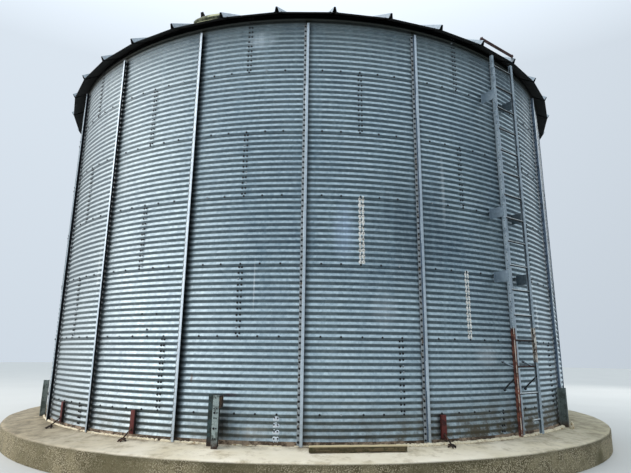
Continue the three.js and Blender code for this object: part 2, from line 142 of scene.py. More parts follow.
def chain(bm, points):
    """Joins points by edges, in order, and returns the edges."""
    line = [bm.verts.new(point) for point in points]
    return [bm.edges.new(pair) for pair in zip(line, line[1:])]


def spin(bm, steps, angle=math.tau):
    """Spins a line round the silo's axis. A whole turn is closed."""
    whole = angle == math.tau
    line = bm.verts[:] + bm.edges[:]
    bmesh.ops.spin(bm, geom=line, cent=(0, 0, 0), axis=(0, 0, 1), angle=angle, steps=steps, use_merge=whole)
    if whole:
        bmesh.ops.remove_doubles(bm, verts=bm.verts[:], dist=0.00005)
        bmesh.ops.recalc_face_normals(bm, faces=bm.faces[:])


def raise_line(bm, edges):
    """Draws edges out once more, and returns the new points and the new edges."""
    drawn = bmesh.ops.extrude_edge_only(bm, edges=edges)["geom"]
    points = [item for item in drawn if isinstance(item, bmesh.types.BMVert)]
    return points, [item for item in drawn if isinstance(item, bmesh.types.BMEdge)]


def round_edges(bm, edges, offset, segments=2):
    """Rounds edges, and returns the new points."""
    return bmesh.ops.bevel(
        bm, geom=edges, offset=offset, affect="EDGES", segments=segments, profile=0.5, material=-1
    )["verts"]


def bent(section, bottom, top, fold, segments):
    """A sheet without thickness: a section drawn upwards, with rounded folds."""
    bm = bmesh.new()
    raised = raise_line(bm, chain(bm, [(*point, bottom) for point in section]))[0]
    bmesh.ops.translate(bm, vec=(0, 0, top - bottom), verts=raised)
    folds = [edge for edge in bm.edges if len(edge.link_faces) == 2]
    round_edges(bm, folds, fold, segments)
    bmesh.ops.recalc_face_normals(bm, faces=bm.faces[:])
    return bm


def thicken(bm, thickness):
    """Gives a sheet its thickness."""
    bmesh.ops.solidify(bm, geom=bm.faces[:], thickness=thickness)
    bm.normal_update()


def block(bm, size, place, bevel, segments=2):
    """A box of a size, put in a place, with its edges rounded."""
    made = bmesh.ops.create_cube(bm, size=1.0, matrix=Matrix.Diagonal((*size, 1.0)))["verts"]
    edges = list({edge for vert in made for edge in vert.link_edges})
    rounded = round_edges(bm, edges, bevel, segments)
    made = list(set(rounded) | {vert for vert in made if vert.is_valid})
    bmesh.ops.transform(bm, matrix=place, verts=made)
    return made


def faces_of(verts):
    return {face for vert in verts for face in vert.link_faces}


def cone(bm, sides, near, far, length, place=Matrix.Identity(4)):
    """A bar along Z with a radius at each end, its middle in a place."""
    bmesh.ops.create_cone(
        bm, cap_ends=True, segments=sides, radius1=near, radius2=far, depth=length, matrix=place
    )


def rod(bm, start, end, radius, sides=12):
    """A round bar between two points."""
    start, end = Vector(start), Vector(end)
    along = (end - start).to_track_quat("Z", "Y").to_matrix().to_4x4()
    cone(bm, sides, radius, radius, (end - start).length, Matrix.Translation((start + end) / 2) @ along)


sample = bmesh.new()
chain(sample, [(0, -1, 0), (0, -1, 1)])
spin(sample, 8)
print("faces of a line spun in eight steps:", len(sample.faces))
sample.free()

# %% [markdown]
# ## Copies and pieces
# Every piece ends the same way: its bmesh becomes a mesh, edges sharper than an angle stay crisp,
# and the new object rides on the silo's one body. Its place is in its mesh, so the object itself
# stays at the origin.

# %% Copies and pieces


def to_shape(bm):
    """Ends a bmesh as a bare mesh, ready to be copied to many places."""
    shape = bpy.data.meshes.new("shape")
    bm.to_mesh(shape)
    bm.free()
    return shape


def copies(shape, places, bm=None):
    """Adds one copy of a shape at each place, to a bmesh or to a new one."""
    bm = bm or bmesh.new()
    for place in places:
        copy = shape.copy()
        copy.transform(place)
        bm.from_mesh(copy)
        bpy.data.meshes.remove(copy)
    return bm


def finish_piece(name, bm, materials, replaces=(), sharp=35, place=None):
    """Ends a bmesh as a piece. It stands for the nodes that it replaces."""
    if place:
        bmesh.ops.transform(bm, matrix=place, verts=bm.verts[:])
    mesh = bpy.data.meshes.new(name)
    bm.to_mesh(mesh)
    bm.free()
    for material in materials:
        mesh.materials.append(material)
    mesh.shade_smooth()
    mesh.set_sharp_from_angle(angle=math.radians(sharp))
    piece = bpy.data.objects.new(name, mesh)
    bpy.context.scene.collection.objects.link(piece)
    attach(piece, "root")
    if replaces:
        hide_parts(*replaces)
    mesh.calc_loop_triangles()
    print(f"{name}: {len(mesh.loop_triangles)} triangles")


def dress(node, material):
    """Gives its material to a node that shows as it is."""
    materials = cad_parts[node].data.materials
    materials.clear()
    materials.append(material)


print("CAD nodes to stand for or to dress:", len(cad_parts))

# %% [markdown]
# ## The silo's measures
# These are the CAD model's own values in metres. The sheet's crests lie one corrugation apart, and
# each course is twelve corrugations high.

# %% Measures
WALL_RADIUS = 4.4182  # to the middle of the corrugation, a little inside the CAD rings' crests
CREST_RADIUS = 4.43035  # to the CAD rings' crests
PITCH = 0.06773
DEPTH = 0.0127
COURSE_HEIGHT = 12 * PITCH
CREST_AT = 0.372  # height of the lowest crest
PLINTH_TOP = 0.33
BAY = 18
BAYS = range(360 // BAY)
SIDES = (-1, 1)
seam_heights = [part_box(f"wall_course_{course}")[0].z for course in range(7, 0, -1)]
wall_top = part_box("wall_course_1")[1].z
course_tops = seam_heights[1:] + [wall_top]
print("seams at", [round(height, 3) for height in seam_heights], "wall top", round(wall_top, 3))

# %% [markdown]
# ## Galvanised sheet
# Hot-dip galvanising leaves a dull grey-blue skin of zinc with a fine crystal pattern. It half
# mirrors the sky, so it is metallic with a middling roughness. Rain streaks run down it, the flanks
# that face down are painted dark as shade with some dust, and splashed soil browns the foot of the
# wall. One function makes the finish for the wall, the stiffeners and the roof, because only its
# tones differ.

# %% Zinc
SPANGLE = 0.03  # crystals are about 10 mm across, drawn coarser so that they show
DULLEST_AT = 2.95  # the height on the wall where the zinc is dullest


def azimuth_of(tree, axes):
    """The azimuth of a shaded point, in radians."""
    front = add(tree, "Math", axes.outputs["Y"], -1.0, operation="MULTIPLY")
    return add(tree, "Math", axes.outputs["X"], front, operation="ARCTAN2")


def zinc_tone(tree, where, axes, patches, streaks, fine):
    """How pale the zinc is. The wall's top and foot are paler than its middle."""
    cells = add(tree, "TexVoronoi", {"Vector": where, "Scale": 1 / SPANGLE})
    crystal = add(tree, "SeparateColor", cells.outputs["Color"])
    tone = -0.1
    for pattern, weight in ((patches, 0.45), (streaks, 0.5), (fine, 0.35), (crystal, 0.22)):
        tone = add(tree, "Math", pattern, weight, tone, operation="MULTIPLY_ADD")
    off_middle = add(tree, "Math", axes.outputs["Z"], DULLEST_AT, operation="SUBTRACT")
    off_middle = add(tree, "Math", off_middle, operation="ABSOLUTE")
    most = add(tree, "MapRange", axes.outputs["X"], -2.6, -0.8, 0.02, 0.15)
    gain = add(tree, "MapRange", off_middle, 0.5, 1.9, -0.04, most)
    return add(tree, "Math", tone, gain, operation="ADD")


print("crystals to a metre:", round(1 / SPANGLE, 1))

# %% [markdown]
# Six layers go over the zinc: painted shade with dust on the flanks that face down, a dark line at
# each seam that is painted shade under the lap, single marks, painted shadow with some dirt beside
# the posts, dust and painted shade under the eave, and splashed soil. Each has a short function that
# lays it over a colour.

# %% Weathering
# Lime runs, scars, stains and broad duller or brighter places on the wall, and painted shade with
# some dirt right of the clear base post (the dark marks at -11.3 and -8.5): azimuth, height, half
# width in degrees, half height in metres, strength and colour
MARKS = [
    (-7.8, 5.15, 2.8, 0.15, 0.65, "d3e0e8"), (-7.5, 2.03, 0.16, 0.36, 0.4, "e2e8ea"),
    (5.8, 2.65, 2.2, 0.4, 0.35, "b9cdea"), (11.7, 1.77, 2.4, 0.26, 0.25, "dfe6ea"),
    (17, 2.75, 11, 1.0, 0.5, "2f3f4b"),
    (29.6, 1.28, 3.0, 0.15, 0.35, "dfe6ea"), (45.7, 1.83, 0.5, 0.3, 0.45, "dfe6ea"),
    (44.6, 2.2, 0.35, 0.4, 0.35, "dfe6ea"), (-7.0, 0.46, 3.0, 0.1, 0.55, "dfe2e0"),
    (-38.5, 2.4, 0.4, 0.5, 0.3, "e2e8ea"), (22.5, 3.3, 0.4, 0.6, 0.3, "dfe6ea"),
    (-10.3, 0.835, 1.2, 0.025, 0.8, "5b4650"), (-16.4, 1.0, 0.3, 0.06, 0.7, "6a4a36"),
    (-11.3, 0.5, 2.3, 0.27, 1.0, "26323a"), (-8.5, 0.4, 1.9, 0.09, 0.6, "4b4a45"),
    (17.2, 0.72, 0.35, 0.16, 0.5, "6a5140"),
]
# Bands under the eave, each reaching up to the wall's top: dust with painted shade, then near-black
# painted shadow: how far down each starts and is full, its strength and colour
EAVE_SHADE_BANDS = [(0.16, 0.125, 0.85, "35362e"), (0.082, 0.062, 0.97, "050708")]


def dust_and_flank_shade(tree, axes, patches, streaks, colour, grime_and_shade):
    """Painted shade, with some dust, on the flank under each crest, which faces down.

    Towards the left the zinc is drawn towards a flat mid grey and this painted shade is weaker.
    """
    waves = 2 * math.pi / PITCH
    phase = math.pi - waves * CREST_AT
    wave = add(tree, "Math", axes.outputs["Z"], waves, phase, operation="MULTIPLY_ADD")
    wave = add(tree, "Math", wave, operation="SINE")
    under = add(tree, "MapRange", wave, -0.3, 0.3)
    held = add(tree, "MapRange", axes.outputs["X"], -3.4, 3.4, grime_and_shade * 0.9, grime_and_shade * 1.07)
    patchy = add(tree, "MapRange", streaks, 0.25, 0.55, 0.72, 1.0)
    flank_shade_share = add(tree, "Math", under, held, operation="MULTIPLY")
    flank_shade_share = add(tree, "Math", flank_shade_share, patchy, operation="MULTIPLY")
    blend_share = add(tree, "MapRange", axes.outputs["X"], -0.8, -3.4, 0.0, 0.6)
    flank_shade_mix = add(tree, "MapRange", patches, 0.4, 0.6)
    flank_shade_colour = layered(tree, "142c3b", (flank_shade_mix, "1c3038"))
    return layered(tree, colour, (blend_share, "adb3b3"), (flank_shade_share, flank_shade_colour))


def seam_lines(tree, axes, colour):
    """Each sheet's lower edge is a dark line, one to a course: painted shade under the lap, with dirt in the
    joint.
    """
    from_seam = axes.outputs["Z"]
    half_course = COURSE_HEIGHT / 2
    for operation, amount in (
        ("SUBTRACT", seam_heights[1] - 0.01 - half_course), ("FLOORED_MODULO", COURSE_HEIGHT),
        ("SUBTRACT", half_course), ("ABSOLUTE", 0.0),
    ):
        from_seam = add(tree, "Math", from_seam, amount, operation=operation)
    edge = add(tree, "MapRange", from_seam, 0.003, 0.007, 0.5, 0.0)
    return layered(tree, colour, (edge, "1c262d"))


def marked(tree, axes, around, streaks, colour):
    """Lays every mark over a colour. Azimuth and height are the mark's two coordinates."""
    spot = add(tree, "CombineXYZ", around, axes.outputs["Z"])
    ragged = add(tree, "MapRange", streaks, 0.35, 0.6, 0.3, 1.0)
    for azimuth, height, wide, tall, strength, tint in MARKS:
        scale = (1 / math.radians(wide), 1 / tall, 0.0)
        shift = (-math.radians(azimuth) * scale[0], -height * scale[1], 0.0)
        near = add(tree, "VectorMath", spot, scale, shift, operation="MULTIPLY_ADD")
        far = add(tree, "VectorMath", near, operation="LENGTH")
        share = add(tree, "MapRange", far, 0.2, 1.0, strength, 0.0)
        share = add(tree, "Math", share, ragged, operation="MULTIPLY")
        colour = layered(tree, colour, (share, tint))
    return colour


def post_painted_shadow(tree, around, colour):
    """Painted shadow, with some dirt, to the right of each stiffener, as light from the left would cast it.
    """
    nudge = add(tree, "MapRange", around, -0.31, 0.63, 3.3, 2.75)
    from_post = add(tree, "Math", around, 180 / math.pi, nudge, operation="MULTIPLY_ADD")
    from_post = add(tree, "Math", from_post, float(BAY), operation="FLOORED_MODULO")
    near = add(tree, "MapRange", from_post, 2.9, 3.95, 0.92, 0.0)
    beside = add(tree, "Math", from_post, 2.6, operation="GREATER_THAN")
    shadow_share = add(tree, "Math", near, beside, operation="MULTIPLY")
    return layered(tree, colour, (shadow_share, "0d161c"))


def eave_shade_bands(tree, axes, colour):
    """Dust with painted shade under the eave, and near-black painted shadow along the wall's top edge."""
    for bottom, top, most, tint in EAVE_SHADE_BANDS:
        share = add(tree, "MapRange", axes.outputs["Z"], wall_top - bottom, wall_top - top, 0.0, most)
        colour = layered(tree, colour, (share, tint))
    return colour


def splashed(tree, where, axes, colour, foot):
    """Soil splashed on the lowest half metre, most of it at the right."""
    low, high = PLINTH_TOP + 0.02, PLINTH_TOP + 0.5
    reach = add(tree, "MapRange", axes.outputs["Z"], low, high, foot, 0.0)
    splash = add(tree, "TexNoise", {"Vector": where, "Scale": 7.0, "Detail": 6.0, "Roughness": 0.75})
    splash = add(tree, "MapRange", splash, 0.32, 0.62)
    muddy = add(tree, "MapRange", axes.outputs["X"], 0.3, 2.6, 0.8, 2.2)
    amount = add(tree, "Math", splash, muddy, operation="MULTIPLY")
    amount = add(tree, "Math", reach, amount, operation="MULTIPLY", use_clamp=True)
    return layered(tree, colour, (amount, "5a564a"))


print(len(MARKS), "marks on the wall")

# %% [markdown]
# The finish puts these together. Only the wall has the grime and the painted shade, and the wall and
# the stiffeners have the splashed foot.

# %% Galvanised finish


def galvanised(name, pale, dull, roughness, metallic, grime_and_shade=0.0, foot=0.0):
    """Zinc between a pale and a dull tone, with the wall's grime and painted shade and a soiled foot if
    asked for.
    """
    material, tree, shader, where = start_material(name, metallic, roughness, pale)
    axes = add(tree, "SeparateXYZ", where)
    patches = add(tree, "TexNoise", {"Vector": where, "Scale": 1.1, "Detail": 5.0, "Roughness": 0.6})
    fine = add(tree, "TexNoise", {"Vector": where, "Scale": 26.0, "Detail": 4.0, "Roughness": 0.7})
    squeezed = add(tree, "Mapping", {"Vector": where, "Scale": (9.0, 9.0, 0.45)})
    streaks = add(tree, "TexNoise", {"Vector": squeezed, "Scale": 1.6, "Detail": 6.0, "Roughness": 0.65})
    tone = zinc_tone(tree, where, axes, patches, streaks, fine)
    spread = add(tree, "MapRange", tone, 0.38, 0.98)
    colour = layered(tree, dull, (spread, pale))
    if grime_and_shade:
        around = azimuth_of(tree, axes)
        colour = dust_and_flank_shade(tree, axes, patches, streaks, colour, grime_and_shade)
        colour = seam_lines(tree, axes, colour)
        colour = marked(tree, axes, around, streaks, colour)
        colour = post_painted_shadow(tree, around, colour)
        colour = eave_shade_bands(tree, axes, colour)
    if foot:
        colour = splashed(tree, where, axes, colour, foot)
    rough = add(tree, "MapRange", spread, 0.0, 1.0, roughness + 0.12, roughness - 0.05)
    bump = add(tree, "Bump", {"Strength": 0.25, "Distance": 0.002, "Height": fine})
    join(tree, shader, {"Base Color": colour, "Roughness": rough, "Normal": bump})
    return material


wall_zinc = galvanised("galvanised_wall_sheet", "c5d7dd", "8298a4", 0.46, 0.72, grime_and_shade=0.82, foot=0.8)
post_zinc = galvanised("galvanised_stiffener", "ccd8e1", "a1b0bb", 0.42, 0.7, foot=0.4)
roof_zinc = galvanised("galvanised_roof_sheet", "b3bcc2", "828d94", 0.5, 0.75)
plate_zinc = galvanised("galvanised_plate", "8e9fab", "687885", 0.5, 0.4)
plate_dark = galvanised("shaded_plate", "65747d", "4a5860", 0.6, 0.3)
print("galvanised materials:", wall_zinc.name, post_zinc.name, roof_zinc.name, plate_zinc.name)

# %% [markdown]
# ## Rust, paint, rubber and sealant
# Bare steel rusts in patches of red and dark brown with a rough skin. Old paint fades and chips.
# Both come from one noise pattern that is cut at a threshold, so its edges look eaten.

# %% Worn finishes


def worn(name, sound, under, share, roughness, metallic=0.0, scale=9.0, relief=0.002, foot=None, edge=None):
    """A skin in one colour that is broken by patches of another. The share is how much is broken.

    The foot is a third colour, which eats upwards from the plinth. The edge is where, from left to
    right, the skin goes from wholly broken to whole.
    """
    material, tree, shader, where = start_material(name, metallic, roughness, sound)
    coarse = add(tree, "TexNoise", {"Vector": where, "Scale": scale, "Detail": 7.0, "Roughness": 0.7})
    grain = add(tree, "TexNoise", {"Vector": where, "Scale": scale * 9, "Detail": 5.0, "Roughness": 0.7})
    attack = coarse
    if edge is not None:
        across = add(tree, "SeparateXYZ", where).outputs["X"]
        past = add(tree, "MapRange", across, edge - 0.1, edge + 0.1, 0.35, -0.35)
        attack = add(tree, "Math", coarse, past, operation="ADD")
    broken = add(tree, "MapRange", attack, 0.64 - share * 0.3, 0.72 - share * 0.3)
    shade = add(tree, "MapRange", grain, 0.3, 0.7, 0.55, 1.15)
    colour = layered(tree, sound, (broken, under))
    colour = add(tree, "Mix", {0: 1.0, MIX_A: colour, MIX_B: shade}, data_type="RGBA", blend_type="MULTIPLY")
    if foot:
        up = add(tree, "SeparateXYZ", where).outputs["Z"]
        low = add(tree, "MapRange", up, PLINTH_TOP, PLINTH_TOP + 0.1, 2.6, 0.0)
        eaten = add(tree, "Math", low, coarse, operation="MULTIPLY", use_clamp=True)
        colour = layered(tree, colour, (eaten, foot))
    rough = add(tree, "MapRange", broken, 0.0, 1.0, roughness, 0.9)
    bump = add(tree, "Bump", {"Strength": 0.6, "Distance": relief, "Height": grain})
    join(tree, shader, {"Base Color": colour, "Roughness": rough, "Normal": bump})
    return material


maroon = worn("faded_maroon_primer", "642521", "3a1917", 0.4, 0.75)
maroon_shade = worn("shaded_maroon_primer", "1c1012", "140c0d", 0.4, 0.85)
shoe_rust = worn("black_rusted_shoe", "2a1f1a", "6a4c38", 0.4, 0.9)
roof_shade = worn("near_black_roof_shade", "06090b", "0c0f10", 0.5, 0.95)
post_flange = worn("speckled_zinc_flange", "b3bcc0", "857c70", 0.35, 0.6, metallic=0.4, scale=20.0)
post_web_shade = worn("shaded_dusty_zinc_web", "0a121b", "0f1519", 0.4, 0.85)
post_web_left_shade = worn("shaded_grey_zinc_web", "64768a", "505f6d", 0.45, 0.7, metallic=0.3)
angle_dirt = worn("dirty_base_angle", "57483a", "a4917c", 0.6, 0.9, scale=6.0)
mortar = worn("cream_mortar", "f2e6c8", "b99f78", 0.3, 0.9, scale=13.0, relief=0.004)
bar_brown = worn("rusty_red_oxide_bar", "4a2f2d", "33201c", 0.5, 0.75)
dark_steel = worn("dark_weathered_rung", "3c2f2b", "3a1c18", 0.5, 0.7, metallic=0.2)
rung_zinc = worn("dull_zinc_rung", "ccd4d5", "9aa09f", 0.4, 0.6, scale=6.0)
rail_zinc = worn("worn_zinc_rail", "a0b0ba", "8494a0", 0.4, 0.5, metallic=0.4)
rail_inside = worn("rail_inside_painted_light", "9cabb5", "7b8288", 0.5, 0.75, metallic=0.2)
rail_fold_highlight = worn("painted_highlight_rail_fold", "e6dccb", "7c5544", 0.5, 0.6, scale=14.0)
rail_patch = worn("patchy_rusted_rail", "d0ccc2", "43291f", 0.5, 0.8, scale=18.0)
rung_under = worn("shaded_rung_underside", "12171a", "1c1917", 0.4, 0.8)
rod_grey = worn("dark_grey_rod", "3a4248", "2c2f31", 0.4, 0.7)
rail_rust = worn("rusted_rail", "7d4a3a", "45231d", 0.65, 0.85, scale=12.0)
post_grey = worn("dull_zinc_post", "9dacaa", "6c7673", 0.5, 0.65, metallic=0.3, scale=14.0, foot="3b2a22")
post_green = worn("dark_green_zinc_flange", "35484a", "28322f", 0.5, 0.8, foot="2e221c")
post_black = worn("shaded_post_web", "101514", "1d1916", 0.4, 0.85)
clip_rust = worn("rusted_clip", "2c221b", "7a5f46", 0.5, 0.9, scale=20.0)
# Lit and shaded copies of one side-post finish: the left posts' copy is painted paler, as light, and the
# right post's darker, as shade.
post_side = worn("pale_side_post_painted_light", "b9c3bd", "838c86", 0.5, 0.7)
post_shaded = worn("shaded_side_post", "5f6b69", "474f4c", 0.5, 0.75, foot="4a3d30")
bolt_dark = worn("grimy_bolt_and_rubber_washer", "14181c", "201d1c", 0.3, 0.7)
bolt_pale = worn("clean_zinc_bolt", "a8b3ba", "70706c", 0.4, 0.5, metallic=0.5)
sealant = worn("white_sealant", "fbfaf4", "98958a", 0.4, 0.7, scale=40.0)
pale_sealant = worn("bluish_white_sealant", "e4eef6", "a3b1bd", 0.35, 0.7, scale=40.0)
hatch_cream = worn("faded_yellow_green_paint", "cdd0a6", "969c78", 0.35, 0.6, scale=12.0)
hatch_olive = worn("dark_olive_paint", "3c4030", "2c3024", 0.4, 0.8)
hatch_skirt_shade = worn("olive_skirt_painted_shade", "6d7156", "3a3e2e", 0.5, 0.75, scale=14.0)
print("worn materials from", maroon.name, "to", hatch_skirt_shade.name)

# %% [markdown]
# ## Wall sheets
# Each course is ten curved sheets with horizontal corrugations. A sheet starts as one upright edge.
# It is cut into eight pieces a corrugation, pushed in and out by a cosine and spun round a tenth of
# the silo. Each sheet then leans out by a sheet's thickness at one end and at its foot, so that it
# laps over its neighbour and over the course below, as on the real wall.

# %% Wall sheets
SHEETS = 10
SHEET_ANGLE = 36
LAP_ANGLE = 1.17  # about 90 mm at the wall
LAP_RISE = 0.0015
FOOT_RISE = 0.0016  # a sheet's foot stands this far outside the course below
SHEET_DROP = 0.012  # each sheet's foot laps a little over the course below
SHEET_STEPS = 18
SHEET_THICKNESS = 0.0015
# Where the first joint between two sheets stands in each course, from the bottom course up
JOINTS = [-3.7, 14.2, -9.7, 8.4, -9.7, 8.4, -9.7]
# Dents: azimuth, height, spread in degrees, spread in metres, depth
DENTS = [(-22.7, 3.13, 3.0, 0.03, 0.012), (-46, 4.3, 3.0, 0.05, 0.007), (14, 1.9, 3.0, 0.06, 0.005)]


def crest_wave(height):
    """How far the corrugated sheet stands out at a height."""
    return DEPTH / 2 * math.cos(2 * math.pi * (height - CREST_AT) / PITCH)


def corrugated_sheet(bottom, top):
    """One sheet, rolled to the wall's curve."""
    bm = bmesh.new()
    upright = chain(bm, [(0, -WALL_RADIUS, height) for height in (bottom, top)])
    bmesh.ops.subdivide_edges(bm, edges=upright, cuts=round((top - bottom) / PITCH * 8) - 1)
    for vert in bm.verts:
        vert.co.y -= crest_wave(vert.co.z)
    whole = math.radians(SHEET_ANGLE + LAP_ANGLE)
    spin(bm, SHEET_STEPS, whole)
    for vert in bm.verts:
        round_share = math.atan2(vert.co.x, -vert.co.y) / whole
        foot_share = (top - vert.co.z) / (top - bottom)
        vert.co.xy *= 1 + (LAP_RISE * round_share + FOOT_RISE * foot_share) / WALL_RADIUS
    bm.faces.ensure_lookup_table()
    middle = bm.faces[0].calc_center_median()
    if bm.faces[0].normal.dot(Vector((middle.x, middle.y, 0))) < 0:
        bmesh.ops.reverse_faces(bm, faces=bm.faces[:])
    thicken(bm, SHEET_THICKNESS)
    return to_shape(bm)


def uneven(bm):
    """The small waves and dents of handled sheet metal."""
    for vert in bm.verts:
        azimuth = math.degrees(math.atan2(vert.co.x, -vert.co.y))
        out = 0.0012 * noise.noise(vert.co * 1.7)
        for at, height, wide, tall, depth in DENTS:
            far = ((azimuth - at) / wide) ** 2 + ((vert.co.z - height) / tall) ** 2
            if far < 9:
                out -= depth * math.exp(-far)
        vert.co.xy *= 1 + out / WALL_RADIUS


full_sheet = corrugated_sheet(seam_heights[1] - SHEET_DROP, seam_heights[2])
short_sheet = corrugated_sheet(seam_heights[0], seam_heights[1])
for level, joint in enumerate(JOINTS):
    rise = move(0, 0, 0.0 if level == 0 else (level - 1) * COURSE_HEIGHT)
    turns = [turn(joint - LAP_ANGLE / 2 + SHEET_ANGLE * sheet) for sheet in range(SHEETS)]
    bm = copies(full_sheet if level else short_sheet, [rise @ each for each in turns])
    uneven(bm)
    name, node = f"corrugated_course_{7 - level}", f"wall_course_{7 - level}"
    finish_piece(name, bm, [wall_zinc], [node], sharp=50)

# %% [markdown]
# ## Bolts
# More than four thousand hexagon bolts with rubber washers hold the sheets. A six-sided head on an
# eight-sided washer is enough at this size, so one small shape is copied to every place.

# %% Bolt shape
HEAD_RADIUS = 0.0098
HEAD_HEIGHT = 0.0065
WASHER_RADIUS = 0.0132
WASHER_HEIGHT = 0.0025


def bolt_shape(scale=1.0):
    """A hexagon head on a washer, along Z."""
    bm = bmesh.new()
    for sides, radius, taper, start, height in (
        (8, WASHER_RADIUS, 0.85, 0.0, WASHER_HEIGHT), (6, HEAD_RADIUS, 0.92, WASHER_HEIGHT, HEAD_HEIGHT),
    ):
        cone(bm, sides, radius, radius * taper, height, move(0, 0, start + height / 2))
    bmesh.ops.scale(bm, vec=(scale, scale, scale), verts=bm.verts[:])
    return to_shape(bm)


bolt = bolt_shape()
pale_bolt = bolt_shape()  # takes a piece's second material
pale_bolt.polygons.foreach_set("material_index", [1] * len(pale_bolt.polygons))
print("faces in a bolt:", len(bolt.polygons))

# %% [markdown]
# The two rows at each upright joint sit in the valleys. The bolts of the level seams sit on the
# crest above the seam, five to a bay, with a stiffener's bolt in the place of the sixth.

# %% Seam bolts
ROW_HALF_GAP = 0.019
BOLTS_TO_BAY = 6
BOLT_TURN = -0.7  # how far round the seams' bolts are from the stiffeners' places, in degrees
ABOVE_SEAM = 0.022  # from a seam up to the crest above it
LOOSE = [(-24.9, 1.533), (-26.2, 1.718), (-23.3, 1.713)]  # three odd bolts left of the front
valley_seat = WALL_RADIUS - DEPTH / 2 + 0.0045
crest_seat = WALL_RADIUS + DEPTH / 2 + 0.0015


def valleys(level):
    """Heights of the corrugation's valleys in a course, from the bottom course up."""
    first = math.ceil((seam_heights[level] + 0.01 - CREST_AT) / PITCH - 0.5)
    last = math.floor((course_tops[level] - 0.01 - CREST_AT) / PITCH - 0.5)
    return [CREST_AT + (count + 0.5) * PITCH for count in range(first, last + 1)]


places = []
for level, joint in enumerate(JOINTS):
    for sheet in range(SHEETS):
        for height in valleys(level):
            for side in SIDES:
                across, up = random.uniform(-0.003, 0.003), random.uniform(-0.003, 0.003)
                azimuth = joint + SHEET_ANGLE * sheet
                places.append(on_wall(azimuth, valley_seat, height + up, side * ROW_HALF_GAP + across))
for seam in seam_heights[1:]:
    for step in range(BOLTS_TO_BAY * len(BAYS)):
        if step % BOLTS_TO_BAY:
            azimuth = step * BAY / BOLTS_TO_BAY + BOLT_TURN + random.uniform(-0.08, 0.08)
            places.append(on_wall(azimuth, crest_seat, seam + ABOVE_SEAM))
places += [on_wall(azimuth, crest_seat, height) for azimuth, height in LOOSE]
clean = set(random.sample(range(len(places)), len(places) // 12))
bm = copies(bolt, [place for count, place in enumerate(places) if count not in clean])
copies(pale_bolt, [places[count] for count in sorted(clean)], bm)
finish_piece("seam_bolts", bm, [bolt_dark, bolt_pale])

# %% [markdown]
# ## Stiffeners
# Twenty folded Z posts stand outside the wall, one to each bay. A post is drawn as the edge of its
# section, drawn upwards, rounded at its folds and given a thickness. Posts come in lengths of about
# two courses, so a short splice piece laps over each joint. The posts that show aren't quite plumb.

# %% Stiffeners
SECTION = [(-0.0565, 0.002), (-0.0235, 0.002), (-0.0235, 0.0435), (0.0065, 0.0435)]
SPLICE_SECTION = [(-0.0565, 0.006), (-0.028, 0.006), (-0.028, 0.0405), (0.0025, 0.0405)]
SPLICES = [1.05, 2.72, 4.32]
SPLICE_HALF = 0.16
POST_SHEET = 0.0028
BOLT_ACROSS = -0.0405  # the middle of the flange on the wall
POST_SEAT, SPLICE_SEAT = 0.0045, 0.009  # how far out the bolts' washers lie
STAND = CREST_RADIUS - 0.0008
# How far a post's foot and top stand to the right of their places, for each bay that shows
LEANS = {
    17: (0.03, 0.015), 18: (0.008, -0.02), 19: (-0.026, -0.017),
    0: (-0.009, 0.001), 1: (-0.004, 0.011), 2: (0.045, 0.014),
}
post_low, post_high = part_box("stiffener_01")


def folded_post(section, sheet, bottom, top, fold=0.004):
    """A post folded from sheet, at the front. The section is a list of across and outwards.

    Materials: 0 the outer face, which is clean, 1 the speckled flange on the wall, 2 the web's
    right side and all that looks back to the wall, which take a dark painted shade, 3 the web's left
    side, which takes a grey painted shade on the stiffeners.
    """
    bm = bent([(across, -(STAND + out)) for across, out in section], bottom, top, fold, 3)
    thicken(bm, sheet)
    outs = [out for across, out in section]
    middle = (min(outs) + max(outs)) / 2
    tip = max(across for across, out in section) - 0.002
    for face in bm.faces:
        centre = face.calc_center_median()
        outward = -face.normal.y > 0.5
        if centre.x > tip or (outward and -centre.y - STAND > middle):
            face.material_index = 0
        elif outward:
            face.material_index = 1
        else:
            face.material_index = 3 if face.normal.x < -0.5 else 2
    return to_shape(bm)


def lean(bay, height):
    """How far a post stands to the right of its place at a height."""
    foot, top = LEANS.get(bay, (0.0, 0.0))
    share = (height - PLINTH_TOP) / (wall_top - PLINTH_TOP)
    return foot + (top - foot) * share


def lean_matrix(bay):
    """The place of a bay's post, a little out of plumb where it shows."""
    slant = Matrix.Identity(4)
    slant[0][2] = lean(bay, 1) - lean(bay, 0)
    slant[0][3] = lean(bay, 0)
    return turn(BAY * bay) @ slant


stands = [lean_matrix(bay) for bay in BAYS]
bm = copies(folded_post(SECTION, POST_SHEET, post_low.z, post_high.z), stands)
for middle in SPLICES:
    copies(folded_post(SPLICE_SECTION, POST_SHEET, middle - SPLICE_HALF, middle + SPLICE_HALF), stands, bm)
posts = [f"stiffener_{count:02d}" for count in range(1, 21)]
# The web's right side takes near-black painted shade with dust, and its left side a grey painted shade.
skins = [post_zinc, post_flange, post_web_shade, post_web_left_shade]
finish_piece("stiffener_posts", bm, skins, posts)

places = []
for count in range(int((post_high.z - 0.01 - CREST_AT) / PITCH) + 1):
    height = CREST_AT + count * PITCH
    on_splice = any(abs(height - middle) < SPLICE_HALF for middle in SPLICES)
    out = STAND + (SPLICE_SEAT if on_splice else POST_SEAT)
    places += [on_wall(BAY * bay, out, height, lean(bay, height) + BOLT_ACROSS) for bay in BAYS]
finish_piece("stiffener_bolts", copies(bolt, places), [bolt_dark])

# %% [markdown]
# ## Sealant
# Three of the joints that face the front were sealed with white mastic over their bolts. On the two
# upper ones it covers the crests between the bolts too. Each dab is a squashed ball, and no two are
# the same size.

# %% Sealant
dab = bmesh.new()
bmesh.ops.create_uvsphere(dab, u_segments=10, v_segments=6, radius=1.0)
dab = to_shape(dab)


